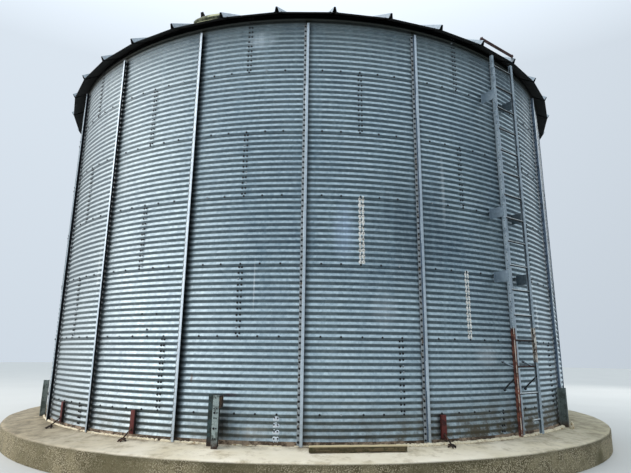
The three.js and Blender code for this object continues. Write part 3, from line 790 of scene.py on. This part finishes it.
def dabs(azimuth, level, broad, thick, drop=0.004, sides=SIDES, on_crests=0.0):
    """One dab over each bolt of a joint, and a smaller one on the crest above where asked for."""
    made = []
    for height in valleys(level):
        for side in sides:
            size = (broad * random.uniform(0.011, 0.017), broad * random.uniform(0.016, 0.03), thick)
            place = on_wall(azimuth, valley_seat + 0.002, height - drop, side * ROW_HALF_GAP)
            made.append(place @ Matrix.Diagonal((*size, 1.0)))
            if on_crests:
                crest = on_wall(azimuth, crest_seat - 0.002, height + PITCH / 2, side * ROW_HALF_GAP)
                made.append(crest @ Matrix.Diagonal((on_crests * size[0], on_crests * 0.016, 0.0045, 1.0)))
    return made


places = dabs(8.4, 3, 1.25, 0.0075, on_crests=0.7) + dabs(26.3, 2, 1.1, 0.0085, on_crests=0.8)
finish_piece("joint_sealant", copies(dab, places), [sealant])
places = dabs(-3.7, 0, 1.45, 0.0065, 0.017, (-1, 0, 1))
finish_piece("foot_joint_sealant", copies(dab, places), [pale_sealant])

# %% [markdown]
# ## Plinth
# The plinth is cast concrete: a smooth trowelled top that falls outwards, a worn edge and a rough
# face where the shutter left pebbles showing. Half of its section is spun round the axis. Noise
# then moves its skin by a few millimetres, most of all along the edge.

# %% Plinth
RIM_HEIGHT = 0.272
RIM_SPREAD = 0.03
PLINTH_SECTION = [
    (0.0, 0.0), (4.99, 0.0), (4.992, 0.13), (4.992, 0.262), (4.975, 0.281),
    (4.46, PLINTH_TOP), (0.0, PLINTH_TOP),
]
plinth = bmesh.new()
edges = chain(plinth, [(0, -radius, height) for radius, height in PLINTH_SECTION])
for edge, cuts in zip(edges[1:], (5, 5, 2, 12)):
    bmesh.ops.subdivide_edges(plinth, edges=[edge], cuts=cuts)
spin(plinth, 540)
for vert in plinth.verts:
    radius = vert.co.xy.length
    if radius > 4.97 and vert.co.z > 0.001:
        push = noise.fractal(vert.co * 6.0, 0.8, 2.0, 4) * 0.008
        at_rim = max(0.0, 1 - abs(vert.co.z - RIM_HEIGHT) / RIM_SPREAD)
        push -= at_rim * max(0.0, noise.noise(vert.co * 3.1)) * 0.02
        vert.co.xy *= 1 + push / radius
    if radius > 4.5 and vert.co.z > 0.25:
        vert.co.z += noise.fractal(vert.co * 2.3, 0.8, 2.0, 3) * 0.0025
print("plinth points:", len(plinth.verts))

# %% [markdown]
# Its material needs two looks in one: pale dusty top and dark mossy face. The height and the
# distance from the axis tell them apart. A brown band on the top, next to the wall, is the dirt
# that rain washes down the sheets. The top is tan at the left and darker at the right. A band of
# painted shade lies under the face's top edge.

# %% Concrete
PEBBLE = 0.013

concrete, tree, shader, where = start_material("cast_concrete", 0.0, 0.92, "b8b2a0")
axes = add(tree, "SeparateXYZ", where)
flat = add(tree, "Mapping", {"Vector": where, "Scale": (1.0, 1.0, 0.0)})
reach = add(tree, "VectorMath", flat, operation="LENGTH")
broad = add(tree, "TexNoise", {"Vector": where, "Scale": 1.7, "Detail": 7.0, "Roughness": 0.62})
grit = add(tree, "TexNoise", {"Vector": where, "Scale": 60.0, "Detail": 4.0, "Roughness": 0.7})
stains = add(tree, "TexNoise", {"Vector": where, "Scale": 5.0, "Detail": 8.0, "Roughness": 0.72})
pebbles = add(tree, "TexVoronoi", {"Vector": where, "Scale": 1 / PEBBLE, "Randomness": 1.0})

tone = add(tree, "MapRange", broad, 0.3, 0.7)
patch = add(tree, "MapRange", stains, 0.5, 0.66, 0.0, 0.7)
near_wall = add(tree, "MapRange", reach, 4.45, 4.62, 1.0, 0.0)
blend_share = add(tree, "MapRange", stains, 0.36, 0.6)
dirt = add(tree, "Math", near_wall, blend_share, operation="MULTIPLY")
blotch = add(tree, "MapRange", stains, 0.38, 0.62)
tan = layered(tree, "a39579", (blotch, "675d48"))
tan_side = add(tree, "MapRange", axes.outputs["X"], -3.3, -1.0, 0.9, 0.0)
right_top_tone = layered(tree, "a69d7b", (blotch, "686249"))
right_top_side = add(tree, "MapRange", axes.outputs["X"], 1.6, 4.0, 0.0, 0.8)
top_colour = layered(
    tree, "e2d6b9", (tone, "fbf2de"), (patch, "b09f7c"), (dirt, "66543c"), (tan_side, tan), (right_top_side, right_top_tone)
)

pebble_tone = add(tree, "MapRange", pebbles, 0.1, 0.55)
skin = add(tree, "MapRange", stains, 0.44, 0.56, 0.0, 0.6)
moss_and_shade_side = add(tree, "MapRange", axes.outputs["X"], -4.0, -1.0, 0.35, 0.9)
mossy = add(tree, "MapRange", broad, 0.44, 0.62)
mossy = add(tree, "Math", mossy, moss_and_shade_side, operation="MULTIPLY")
# Painted shade under the top edge of the face, weaker at the far left, as is the moss.
under_edge_shade = add(tree, "MapRange", axes.outputs["Z"], 0.22, 0.258, 0.0, 0.6)
under_edge_shade = add(tree, "Math", under_edge_shade, moss_and_shade_side, operation="MULTIPLY")
face_colour = layered(
    tree, "e6dab9", (pebble_tone, "60563c"), (skin, "958b6c"), (mossy, "5c5538"), (under_edge_shade, "4a4430")
)

is_face = add(tree, "MapRange", axes.outputs["Z"], 0.262, 0.276, 1.0, 0.0)
colour = layered(tree, top_colour, (is_face, face_colour))
relief = add(tree, "Math", pebble_tone, is_face, operation="MULTIPLY")
relief = add(tree, "Math", relief, -1.0, grit, operation="MULTIPLY_ADD")
bump = add(tree, "Bump", {"Strength": 0.7, "Distance": 0.006, "Height": relief})
join(tree, shader, {"Base Color": colour, "Normal": bump})
finish_piece("cast_plinth", plinth, [concrete], ["plinth"], 60)

# %% [markdown]
# ## Roof
# The roof is a cone of forty flat panels. Their edges are folded up into hollow ribs, which end
# open at the eave. One bay is a line across the rib that is extruded up the slope and narrows as
# it goes, and thirty-nine turned copies close the cone.

# %% Roof panels
SLOPE = math.radians(33.5)
EAVE_RADIUS = 4.601
EAVE_TOP = 5.4162
ROOF_TURN = -0.5
RIBS = 40
RIB_HEIGHT = 0.06
RIB_FOOT = 0.028
RIB_CROWN = 0.011
ROOF_SHEET = 0.004
# Each row's distance from the axis, and how much of the rib is left there
ROOF_ROWS = [(radius, 1.0) for radius in (EAVE_RADIUS, 4.0, 3.2, 2.4, 1.6, 0.9, 0.62)]
ROOF_ROWS += [(0.56, 0.02), (0.42, 0.02)]
half_rib = math.pi / RIBS
rib_turns = [turn(ROOF_TURN + (rib + 0.5) * 360 / RIBS) for rib in range(RIBS)]


def roof_height(radius):
    """Height of the roof's panels at a distance from the axis."""
    return EAVE_TOP + (EAVE_RADIUS - radius) * math.tan(SLOPE)


def roof_line(radius, rib=1.0):
    """Points across one bay of the roof at a distance from the axis, from left to right."""
    up = Vector((0, -math.sin(SLOPE), math.cos(SLOPE)))
    shadow_share = Vector((0, -radius, roof_height(radius)))
    edge = radius * math.cos(half_rib)
    points = []
    for side in SIDES:
        outer = Vector((side * edge * math.sin(half_rib), -edge * math.cos(half_rib), shadow_share.z))
        foot = shadow_share + (outer - shadow_share).normalized() * RIB_FOOT
        crown = shadow_share + Vector((side * RIB_CROWN, 0, 0)) + up * (RIB_HEIGHT * rib)
        points.append([outer, foot, crown])
    return points[0] + points[1][::-1]


bm = bmesh.new()
edges = chain(bm, roof_line(*ROOF_ROWS[0]))
for row in ROOF_ROWS[1:]:
    line, edges = raise_line(bm, edges)
    line.sort(key=lambda vert: vert.co.x)
    for vert, point in zip(line, sorted(roof_line(*row), key=lambda point: point.x)):
        vert.co = point
bm = copies(to_shape(bm), rib_turns)
bmesh.ops.remove_doubles(bm, verts=bm.verts[:], dist=0.0005)
bmesh.ops.recalc_face_normals(bm, faces=bm.faces[:])
if sum(face.normal.z for face in bm.faces) < 0:
    bmesh.ops.reverse_faces(bm, faces=bm.faces[:])
thicken(bm, ROOF_SHEET)
# Faces that look down, with the eave's edge, are painted near-black as the shade under the roof.
for face in bm.faces:
    face.material_index = 1 if face.normal.z < 0.05 else 0
sectors = [f"roof_sector_{count}" for count in range(1, 6)]
finish_piece("ribbed_roof", bm, [roof_zinc, roof_shade], sectors, 25)

# %% [markdown]
# A row of bolts runs up the panels on each side of every rib. The collar and the cap at the peak
# are smooth turned sheet, so they keep the CAD shapes.

# %% Roof bolts and peak
ROOF_BOLTS = 11
LOWEST_BOLT = 4.52  # distance of a row's first bolt from the axis
BOLT_STEP = 0.37
BOLT_SIDE = 0.045
tilt = Matrix.Rotation(SLOPE, 4, "X")
places = []
for around in rib_turns:
    for radius in [LOWEST_BOLT - step * BOLT_STEP for step in range(ROOF_BOLTS)]:
        places += [around @ move(side * BOLT_SIDE, -radius, roof_height(radius)) @ tilt for side in SIDES]
finish_piece("roof_bolts", copies(bolt, places), [bolt_dark])
for name in ("peak_collar", "peak_cap"):
    dress(name, roof_zinc)

# %% [markdown]
# ## Roof hatch
# A round lid on a low curb lies on one panel, left of the front. Both are turned shapes, spun from
# half a section and laid square to the panel. A dark handle stands on the lid.

# %% Roof hatch
HATCH_RADIUS = 4.13
CURB_SECTION = [
    (0.262, 0.001), (0.285, 0.001), (0.285, 0.005), (0.27, 0.007), (0.27, 0.059), (0.262, 0.059),
]
LID_SECTION = [
    (0.0, 0.061), (0.278, 0.061), (0.279, 0.026), (0.284, 0.022), (0.292, 0.024), (0.292, 0.034),
    (0.285, 0.038), (0.286, 0.064), (0.28, 0.073), (0.25, 0.09), (0.19, 0.105), (0.12, 0.115),
    (0.05, 0.12), (0.0, 0.121),
]
HANDLE_AT = -0.16
panel_tilt = math.atan(math.tan(SLOPE) / math.cos(half_rib))
on_panel = move(0, -HATCH_RADIUS, roof_height(HATCH_RADIUS / math.cos(half_rib)))
hatch_place = turn(ROOF_TURN - BAY) @ on_panel @ Matrix.Rotation(panel_tilt, 4, "X")


def turned(section):
    """A closed shape spun from a line that starts and ends on the axis, or else joins up."""
    bm = bmesh.new()
    ring = section if section[0][0] == 0 else section + section[:1]
    chain(bm, [(radius, 0, height) for radius, height in ring])
    spin(bm, 64)
    return bm


finish_piece(
    "hatch_curb", turned(CURB_SECTION), [hatch_olive], ["roof_hatch_curb"], place=hatch_place
)
lid_edge = hatch_place.translation.x - 0.03
lid_paint = worn("lid_paint_shaded_left", "cdd0a6", "6d7156", 0.5, 0.75, scale=14.0, edge=lid_edge)
# The rolled bead and the crown's right half are pale paint. The skirt is painted dark olive as shade, and
# so, in patches, is the crown's left half.
lid = turned(LID_SECTION)
for face in lid.faces:
    centre = face.calc_center_median()
    bead = centre.z < 0.037 and centre.xy.length > 0.278
    face.material_index = 0 if bead else 2 if centre.z > 0.08 else 1
skins = [hatch_cream, hatch_skirt_shade, lid_paint]
finish_piece("hatch_lid", lid, skins, ["roof_hatch_lid"], place=hatch_place)
bm = bmesh.new()
for side in SIDES:
    rod(bm, (HANDLE_AT + side * 0.03, 0, 0.09), (HANDLE_AT + side * 0.006, 0, 0.182), 0.013)
block(bm, (0.05, 0.03, 0.02), move(HANDLE_AT, 0, 0.14), 0.005)
block(bm, (0.1, 0.06, 0.014), move(HANDLE_AT, 0, 0.104), 0.004)
# The handle takes the near-black of the roof's painted shade.
finish_piece("hatch_handle", bm, [roof_shade], place=hatch_place)

# %% [markdown]
# ## Ladder
# Two channel rails, open towards each other, carry round rungs. Plates hold the ladder off the wall
# high up, and rods do so near the ground. The left rail is rusted up to a line, and the right one
# in a patch. The lowest rung has rusted through, and only a stub of it is left on the right rail.

# %% Ladder
RAIL_RADIUS = CREST_RADIUS + 0.182
RAIL_HALF_GAP = 0.215
RAIL_LOW, RAIL_HIGH = PLINTH_TOP + 0.04, PLINTH_TOP + 4.964
RUNG_PITCH = 0.308
LOWEST_RUNG = PLINTH_TOP + 0.204
RUNGS = 15  # above the broken one
RUSTED_RUNGS = (2, 3)
RUNG_RADIUS, ROD_RADIUS, KNOB_RADIUS = 0.0125, 0.0095, 0.019
RAIL_SHEET = 0.0035
WEB_OFFSET = 0.019  # from a rung's end to the rail's web
PLATES = [2.241, 3.068, 4.713]
PLATE_SIZE, PLATE_FOOT = (0.006, 0.2, 0.134), (0.03, 0.006, 0.134)
BRACES = [(1.041, 0.878), (1.133, 1.207)]  # heights of a rod's ends, on the rail and on the wall
RUST_LINE = 1.6
RUST_PATCH = (1.2, 1.62)  # on the right rail
# Each rail's width along the wall and its depth towards the wall
RAILS = {-1: (0.028, 0.046), 1: (0.05, 0.034)}
ladder = turn(35.6)


def rail(side, bottom, top, capped=False):
    """A channel drawn upwards. Its web looks away from the other rail.

    Materials: 0 outside, 1 inside, 2 the fold at its front, which on the rusted rail takes a painted
    highlight.
    """
    width, depth = RAILS[side]
    far = side * (RAIL_HALF_GAP + WEB_OFFSET)
    near = far - side * width
    front = -RAIL_RADIUS - 0.02
    section = [(near, front), (far, front), (far, front + depth), (near, front + depth)]
    bm = bent(section, bottom, top, 0.005, 2)
    if sum(face.normal.x * side * face.calc_area() for face in bm.faces) < 0:
        bmesh.ops.reverse_faces(bm, faces=bm.faces[:])
    thicken(bm, RAIL_SHEET)
    for face in bm.faces:
        centre = face.calc_center_median()
        inside = abs(centre.x) < abs(far) - 0.002 and front + 0.002 < centre.y < front + depth - 0.002
        at_fold = abs(centre.x) > abs(far) - 0.006 and centre.y < front + 0.006 and abs(face.normal.z) < 0.5
        slanted = 0.2 < abs(face.normal.x) < 0.98
        face.material_index = 2 if at_fold and slanted else 1 if inside else 0
    if capped:
        size = Matrix.Diagonal((width / 2, depth / 2, 0.014, 1))
        cap = move((near + far) / 2, front + depth / 2, top - 0.014) @ size
        bmesh.ops.create_uvsphere(bm, u_segments=16, v_segments=8, radius=1.0, matrix=cap)
    return to_shape(bm)


unmoved = [Matrix.Identity(4)]
bm = copies(rail(-1, RUST_LINE, RAIL_HIGH, capped=True), unmoved)
copies(rail(1, RUST_PATCH[1] + 0.001, RAIL_HIGH, capped=True), unmoved, bm)
copies(rail(1, RAIL_LOW, RUST_PATCH[0] - 0.001), unmoved, bm)
# The zinc rails' inside is painted almost as pale as the outside, as light in the channel's shade.
skins = [rail_zinc, rail_inside, rail_zinc]
finish_piece("ladder_rails", bm, skins, ["wall_ladder"], place=ladder)
bm = copies(rail(-1, RAIL_LOW, RUST_LINE - 0.001), unmoved)
finish_piece("ladder_rusted_rail", bm, [rail_rust, bar_brown, rail_fold_highlight], place=ladder)
bm = copies(rail(1, *RUST_PATCH), unmoved)
finish_piece("ladder_rail_patch", bm, [rail_patch] * 3, place=ladder)

# A dark plug sits in each hole of the rails' webs, three to a rung.
plug = bmesh.new()
cone(plug, 8, 0.007, 0.006, 0.002)
plug = to_shape(plug)
sideways = Matrix.Rotation(math.radians(-90), 4, "Y")
places = []
for height in [LOWEST_RUNG + 0.05 + step * RUNG_PITCH / 3 for step in range(3 * RUNGS + 2)]:
    for side in SIDES:
        across = side * (RAIL_HALF_GAP + WEB_OFFSET + 0.0005)
        places.append(move(across, -RAIL_RADIUS - 0.008, height) @ sideways)
finish_piece("ladder_plugs", copies(plug, places), [bolt_dark], place=ladder)

# %% [markdown]
# The rungs' and rods' undersides are painted darker than their tops, as shade. Each rod ends in a knob on
# the wall.

# %% Rungs, rods and plates
rungs, rusted_rungs, lower_rods, upper_rods = [bmesh.new() for count in range(4)]
for rung in range(1, RUNGS + 1):
    height = LOWEST_RUNG + rung * RUNG_PITCH
    ends = [(side * RAIL_HALF_GAP, -RAIL_RADIUS, height) for side in SIDES]
    rod(rusted_rungs if rung in RUSTED_RUNGS else rungs, *ends, RUNG_RADIUS)
stub = [(0.05, -RAIL_RADIUS, LOWEST_RUNG - 0.004), (RAIL_HALF_GAP, -RAIL_RADIUS, LOWEST_RUNG)]
rod(rungs, *stub, RUNG_RADIUS)
for (at_rail, at_wall), into in zip(BRACES, (lower_rods, upper_rods)):
    for side in SIDES:
        end = Vector((side * RAIL_HALF_GAP, -(CREST_RADIUS - 0.004), at_wall))
        rod(into, (side * RAIL_HALF_GAP, -RAIL_RADIUS, at_rail), end, ROD_RADIUS)
        knob = Matrix.Translation(end + Vector((0, -0.012, 0)))
        bmesh.ops.create_uvsphere(into, u_segments=12, v_segments=8, radius=KNOB_RADIUS, matrix=knob)
for name, shape, material in (
    ("ladder_rungs", rungs, rung_zinc),
    ("ladder_rusted_rungs", rusted_rungs, dark_steel),
    ("ladder_lower_rods", lower_rods, rod_grey),
    ("ladder_upper_rods", upper_rods, rail_zinc),
):
    for face in shape.faces:
        face.material_index = 1 if face.normal.z < -0.1 else 0
    finish_piece(name, shape, [material, rung_under], place=ladder)

bm = bmesh.new()
for height in PLATES:
    for side in SIDES:
        plate = move(side * (RAIL_HALF_GAP + 0.022), -(RAIL_RADIUS - 0.09), height)
        foot = move(side * (RAIL_HALF_GAP + 0.034), -(CREST_RADIUS + 0.004), height)
        made = block(bm, PLATE_SIZE, plate, 0.001) + block(bm, PLATE_FOOT, foot, 0.001)
        for face in faces_of(made):
            face.material_index = 1 if side == 1 else 0
finish_piece("ladder_plates", bm, [plate_zinc, plate_dark], place=ladder)

# %% [markdown]
# ## Eave bar
# A rusty bar is fixed across the crowns of two roof ribs over the ladder, as a hand hold.

# %% Eave bar
HAND_BAR = (0.738, 0.034, 0.034)
BAR_BOLTS = 0.35  # from the bar's middle to each of its bolts
at_eave = turn(ROOF_TURN + 2 * BAY) @ move(-0.011, -EAVE_RADIUS * math.cos(half_rib), EAVE_TOP)
bar_place = at_eave @ tilt @ move(0, 0.058, RIB_HEIGHT + 0.0185)
bm = bmesh.new()
block(bm, HAND_BAR, bar_place, 0.006, 3)
copies(bolt, [bar_place @ move(side * BAR_BOLTS, 0, 0.0165) for side in SIDES], bm)
finish_piece("hand_bar", bm, [bar_brown], ["eave_bar"])

# %% [markdown]
# ## Anchors
# A maroon bar against the foot of the wall, a rod that slants out of it and a small rusty shoe on
# the concrete tie the wall down.

# %% Anchors
ANCHORS = [-45.4, -25.8, 20.3, 117, -135]
ANCHOR_BAR, ANCHOR_HEIGHT = (0.064, 0.034, 0.256), 0.504
SHOE_RADIUS = CREST_RADIUS + 0.14
SHOE_SIZE = (0.05, 0.04, 0.02)
# Where each leg of a shoe ends: across, and out from the rod's end
LEGS = [(-0.052, 0.02), (-0.018, 0.062), (0.02, 0.058), (0.054, 0.012)]


def slab_top(radius):
    """Height of the plinth's top at a distance from the axis."""
    return PLINTH_TOP - max(0.0, radius - 4.45) * 0.05 / 0.525


bars = bmesh.new()
shoes = bmesh.new()
for azimuth in ANCHORS:
    around = turn(azimuth)
    rightwards = around @ Vector((1, 0, 0))
    made = block(bars, ANCHOR_BAR, around @ move(0, -(CREST_RADIUS + 0.0175), ANCHOR_HEIGHT), 0.003)
    bars.normal_update()
    for face in faces_of(made):
        face.material_index = 1 if face.normal.dot(rightwards) > 0.6 else 0
    start = around @ Vector((0, -(CREST_RADIUS + 0.012), 0.452))
    rod(shoes, start, around @ Vector((0, -(CREST_RADIUS + 0.145), 0.347)), 0.0085)
    knot = around @ Vector((0, -SHOE_RADIUS, slab_top(SHOE_RADIUS) + 0.03))
    for across, out in LEGS:
        radius = SHOE_RADIUS + out
        rod(shoes, knot, around @ Vector((across, -radius, slab_top(radius) + 0.006)), 0.0075, 8)
    block(shoes, SHOE_SIZE, around @ move(0, -SHOE_RADIUS, slab_top(SHOE_RADIUS) + 0.022), 0.005)
names = [f"anchor_{count}" for count in range(1, 6)]
finish_piece("anchor_bars", bars, [maroon, maroon_shade], names)
finish_piece("anchor_shoes", shoes, [shoe_rust])

# %% [markdown]
# ## Base posts
# Short, heavy Z posts stand at the foot of the wall. They are folded like the stiffeners, from
# thicker sheet. The one that stands clear has dark bolts in its outer face, a lip at that face's
# right edge, and a rusted clip behind the lip's top. Its flange and the web's left side are dark
# green-grey, and the web's right side and the lip are painted near-black as shade.

# %% Base posts
POST_TOP = PLINTH_TOP + 0.515
HEAVY_SHEET = 0.006
CLEAR_AZIMUTH, CLEAR_STAND, CLEAR_DEPTH = -11.7, 0.1, 0.104
# Each post's azimuth, its distance from the wall and its depth
BASE_POSTS = [
    (-62.9, 0.004, 0.082), (CLEAR_AZIMUTH, CLEAR_STAND, CLEAR_DEPTH), (53.2, 0.01, 0.09),
    (152, 0.004, 0.104), (-152, 0.004, 0.104),
]
# Bolts in the clear post's outer face: across and height
SMALL_BOLTS = [
    (0.028, 0.817), (0.017, 0.711), (0.048, 0.711), (0.019, 0.617), (0.045, 0.617), (0.017, 0.416),
    (0.039, 0.416), (0.05, 0.669), (0.047, 0.515),
]
BIG_BOLTS = [(0.022, 0.669), (0.02, 0.515)]
# The lip and the clip: size, across, how far back from the outer face, height and material
LIP_AND_CLIP = [
    ((0.006, 0.038, 0.5), 0.0625, 0.024, POST_TOP - 0.258, 2),
    ((0.008, 0.1, 0.125), 0.069, 0.056, POST_TOP - 0.068, 4),
]
clear_face = CREST_RADIUS + CLEAR_STAND + CLEAR_DEPTH
clear_post, side_posts, right_post = [bmesh.new() for count in range(3)]
shapes = (side_posts, clear_post, right_post, side_posts, side_posts)
for (azimuth, stand, depth), into in zip(BASE_POSTS, shapes):
    inner = CREST_RADIUS + stand - STAND + 0.0035
    outer = inner + depth - 0.007
    section = [(-0.092, inner), (-0.0035, inner), (-0.0035, outer), (0.066, outer)]
    foot = slab_top(CREST_RADIUS + stand + depth / 2) + 0.001
    copies(folded_post(section, HEAVY_SHEET, foot, POST_TOP, fold=0.008), [turn(azimuth)], into)
for size, across, back, height, index in LIP_AND_CLIP:
    place = turn(CLEAR_AZIMUTH) @ move(across, -(clear_face - back), height)
    for face in faces_of(block(clear_post, size, place, 0.001)):
        face.material_index = index
skins = [post_grey, post_green, post_black, post_green, clip_rust]
finish_piece("clear_base_post", clear_post, skins, ["base_post_2"])
names = [f"base_post_{count}" for count in (1, 4, 5)]
finish_piece("side_base_posts", side_posts, [post_side] * 4, names)
finish_piece("right_base_post", right_post, [post_shaded] * 4, ["base_post_3"])

bm = bmesh.new()
for scale, spots in ((0.55, SMALL_BOLTS), (0.95, BIG_BOLTS)):
    seats = [on_wall(CLEAR_AZIMUTH, clear_face - 0.0005, height, across) for across, height in spots]
    copies(bolt_shape(scale), seats, bm)
finish_piece("base_post_bolts", bm, [bolt_dark])

# %% [markdown]
# ## Foot board
# A wet, mossy board lies on edge along the wall. A long block is cut into short lengths, and noise
# makes it ragged. Its fibres run along it, and its upper edge is painted pale as a highlight.

# %% Foot board
BOARD_AZIMUTH = 7
BOARD_RADIUS = 4.6454
BOARD_SIZE = (1.006, 0.042, 0.066)
BOARD_MIDDLE = 0.03754  # above the plinth's top

timber, tree, shader, where = start_material("wet_old_board", 0.0, 0.9, "4d4535")
back = math.radians(-BOARD_AZIMUTH)
unturned = add(tree, "VectorRotate", {"Vector": where, "Angle": back}, rotation_type="Z_AXIS")
stretched = add(tree, "Mapping", {"Vector": unturned, "Scale": (2.0, 60.0, 60.0)})
fibres = add(tree, "TexNoise", {"Vector": stretched, "Scale": 1.0, "Detail": 5.0})
moss = add(tree, "TexNoise", {"Vector": where, "Scale": 14.0, "Detail": 6.0, "Roughness": 0.7})
grain = add(tree, "MapRange", fibres, 0.3, 0.7)
green = add(tree, "MapRange", moss, 0.48, 0.56, 0.0, 0.85)
up = add(tree, "SeparateXYZ", where).outputs["Z"]
# Painted highlight along the board's top edge.
lit_top_edge = add(tree, "MapRange", up, 0.366, 0.372)
wood = layered(tree, "211b11", (grain, "786a4d"), (green, "38371c"), (lit_top_edge, "cfc09a"))
bump = add(tree, "Bump", {"Strength": 0.8, "Distance": 0.004, "Height": fibres})
join(tree, shader, {"Base Color": wood, "Normal": bump})

bm = bmesh.new()
bmesh.ops.create_cube(bm, size=1.0)
long_edges = [edge for edge in bm.edges if abs(edge.verts[0].co.x - edge.verts[1].co.x) > 0.5]
bmesh.ops.subdivide_edges(bm, edges=long_edges, cuts=60)
edges = [edge for edge in bm.edges if len(edge.link_faces) == 2 and edge.calc_face_angle(0) > 1]
bmesh.ops.transform(bm, matrix=Matrix.Diagonal((*BOARD_SIZE, 1.0)), verts=bm.verts[:])
round_edges(bm, edges, 0.005)
for vert in bm.verts:
    vert.co += Vector((0, 1, 1)) * noise.noise(vert.co * 9) * 0.0035
board_place = turn(BOARD_AZIMUTH) @ move(0, -BOARD_RADIUS, slab_top(BOARD_RADIUS) + BOARD_MIDDLE)
finish_piece("old_board", bm, [timber], ["foot_board"], place=board_place)

# %% [markdown]
# ## Foot of the wall
# The base angle is dull brown with dirt. Old mortar lies along it: a broad cream band right of the
# front, with three lumps behind the base post there, and thin broken crumbs left of the front.

# %% Base angle and mortar line
LUMPS = [(52.3, 0.008, 0.03), (52.6, 0.04, 0.022), (52.3, 0.068, 0.017)]  # azimuth, height, radius
dress("base_angle", angle_dirt)


def mortar_dab(bm, azimuth, out, up, size):
    """One dab, so far out from the wall's crests and up from the plinth's top."""
    place = turn(azimuth) @ move(0, -(CREST_RADIUS + out), PLINTH_TOP + up)
    copies(dab, [place @ Matrix.Diagonal((*size, 1.0))], bm)


def mortar_line(bm, first, last, depth, height, gaps):
    """Dabs of mortar side by side along the wall's foot. The gaps are the share left out."""
    azimuth = first
    while azimuth < last:
        width = random.uniform(0.015, 0.045)
        out = depth * random.uniform(0.7, 1.2)
        if random.random() > gaps:
            size = (width, out, height * random.uniform(0.7, 1.2))
            mortar_dab(bm, azimuth, 0.004 + out * 0.8, 0.002, size)
        azimuth += math.degrees(width / CREST_RADIUS) * 1.1


bm = bmesh.new()
mortar_line(bm, 13, 56, 0.036, 0.022, 0.0)
for azimuth, height, radius in LUMPS:
    mortar_dab(bm, azimuth, 0.155, height, (radius, radius, radius))
mortar_line(bm, -66, -13.5, 0.015, 0.018, 0.12)
mortar_line(bm, -9.5, 2, 0.009, 0.01, 0.4)
finish_piece("mortar_line", bm, [mortar])

# %% [markdown]
# ## Stage and light
# A pale floor, an even sky and one wide soft light from the left stand in for an overcast day. A
# weak one behind at the right brightens the edges there.

# %% Stage and light
floor_material, tree, shader, where = start_material("pale_floor", 0.0, 0.9, "cfcfca")
speckle = add(tree, "TexNoise", {"Vector": where, "Scale": 0.6, "Detail": 3.0})
shade = add(tree, "MapRange", speckle, 0.0, 1.0, 0.85, 0.95)
tint = add(tree, "Mix", {0: 1.0, MIX_A: "cfcfca", MIX_B: shade}, data_type="RGBA", blend_type="MULTIPLY")
join(tree, shader, {"Base Color": tint})
bm = bmesh.new()
bmesh.ops.create_circle(bm, cap_ends=True, segments=96, radius=60.0)
mesh = to_shape(bm)
mesh.materials.append(floor_material)
floor_object = bpy.data.objects.new("studio_floor", mesh)
floor_object.location.z = -0.002
bpy.context.scene.collection.objects.link(floor_object)

BRIGHT_SKY = Vector((-0.6, 0.65, 0.45)).normalized()  # where the cloud is thinnest, left of the silo
world = bpy.data.worlds.new("overcast")
world.use_nodes = True
bpy.context.scene.world = world
tree = world.node_tree
direction = add(tree, "TexCoord").outputs["Generated"]
up = add(tree, "SeparateXYZ", direction).outputs["Z"]
climb = add(tree, "MapRange", up, -0.02, 0.6)
zenith = add(tree, "MapRange", up, 0.5, 0.9, 1.0, 2.1)
toward = add(tree, "VectorMath", direction, BRIGHT_SKY, operation="DOT_PRODUCT")
glow = add(tree, "MapRange", toward, -0.8, 0.8, 0.72, 1.08)
strength = add(tree, "Math", glow, zenith, operation="MULTIPLY")
sky = layered(tree, "c9d3dd", (climb, "d6e0ea"))
join(tree, tree.nodes["Background"], {"Color": sky, "Strength": strength})


def soft_light(name, place, target, size, power, tint):
    """A round light that looks from its place to a target."""
    lamp = bpy.data.lights.new(name, "AREA")
    lamp.shape = "DISK"
    lamp.size = size
    lamp.energy = power
    lamp.color = tint
    holder = bpy.data.objects.new(name, lamp)
    holder.location = place
    holder.rotation_euler = (Vector(target) - Vector(place)).to_track_quat("-Z", "Y").to_euler()
    bpy.context.scene.collection.objects.link(holder)


soft_light("sky_left", (-16, -5.5, 9), (-3, -1, 2.5), 18, 2150, (1.0, 0.93, 0.88))
soft_light("sky_right", (14, 9, 9), (3, -1, 2.5), 12, 600, (1.0, 0.98, 0.96))
bpy.context.scene.view_settings.view_transform = "Standard"
print("lights are set")

# %% [markdown]
# The camera has the photograph's own place and lens, which were found by fitting the silo's seams
# and stiffeners to it.

# %% Camera
CAMERA_PLACE = (0.109, -10.009, 1.274)
YAW, PITCH_UP, ROLL = -0.02, 13.208, 0.596  # in degrees
lens = bpy.data.cameras.new("photo_camera")
lens.lens = 28.54
lens.sensor_width = 36.0
camera = bpy.data.objects.new("photo_camera", lens)
aim = turn(YAW) @ Matrix.Rotation(math.radians(90 + PITCH_UP), 4, "X") @ turn(ROLL)
camera.matrix_world = move(*CAMERA_PLACE) @ aim
bpy.context.scene.collection.objects.link(camera)
bpy.context.scene.camera = camera
print("camera at", [round(v, 3) for v in camera.location])
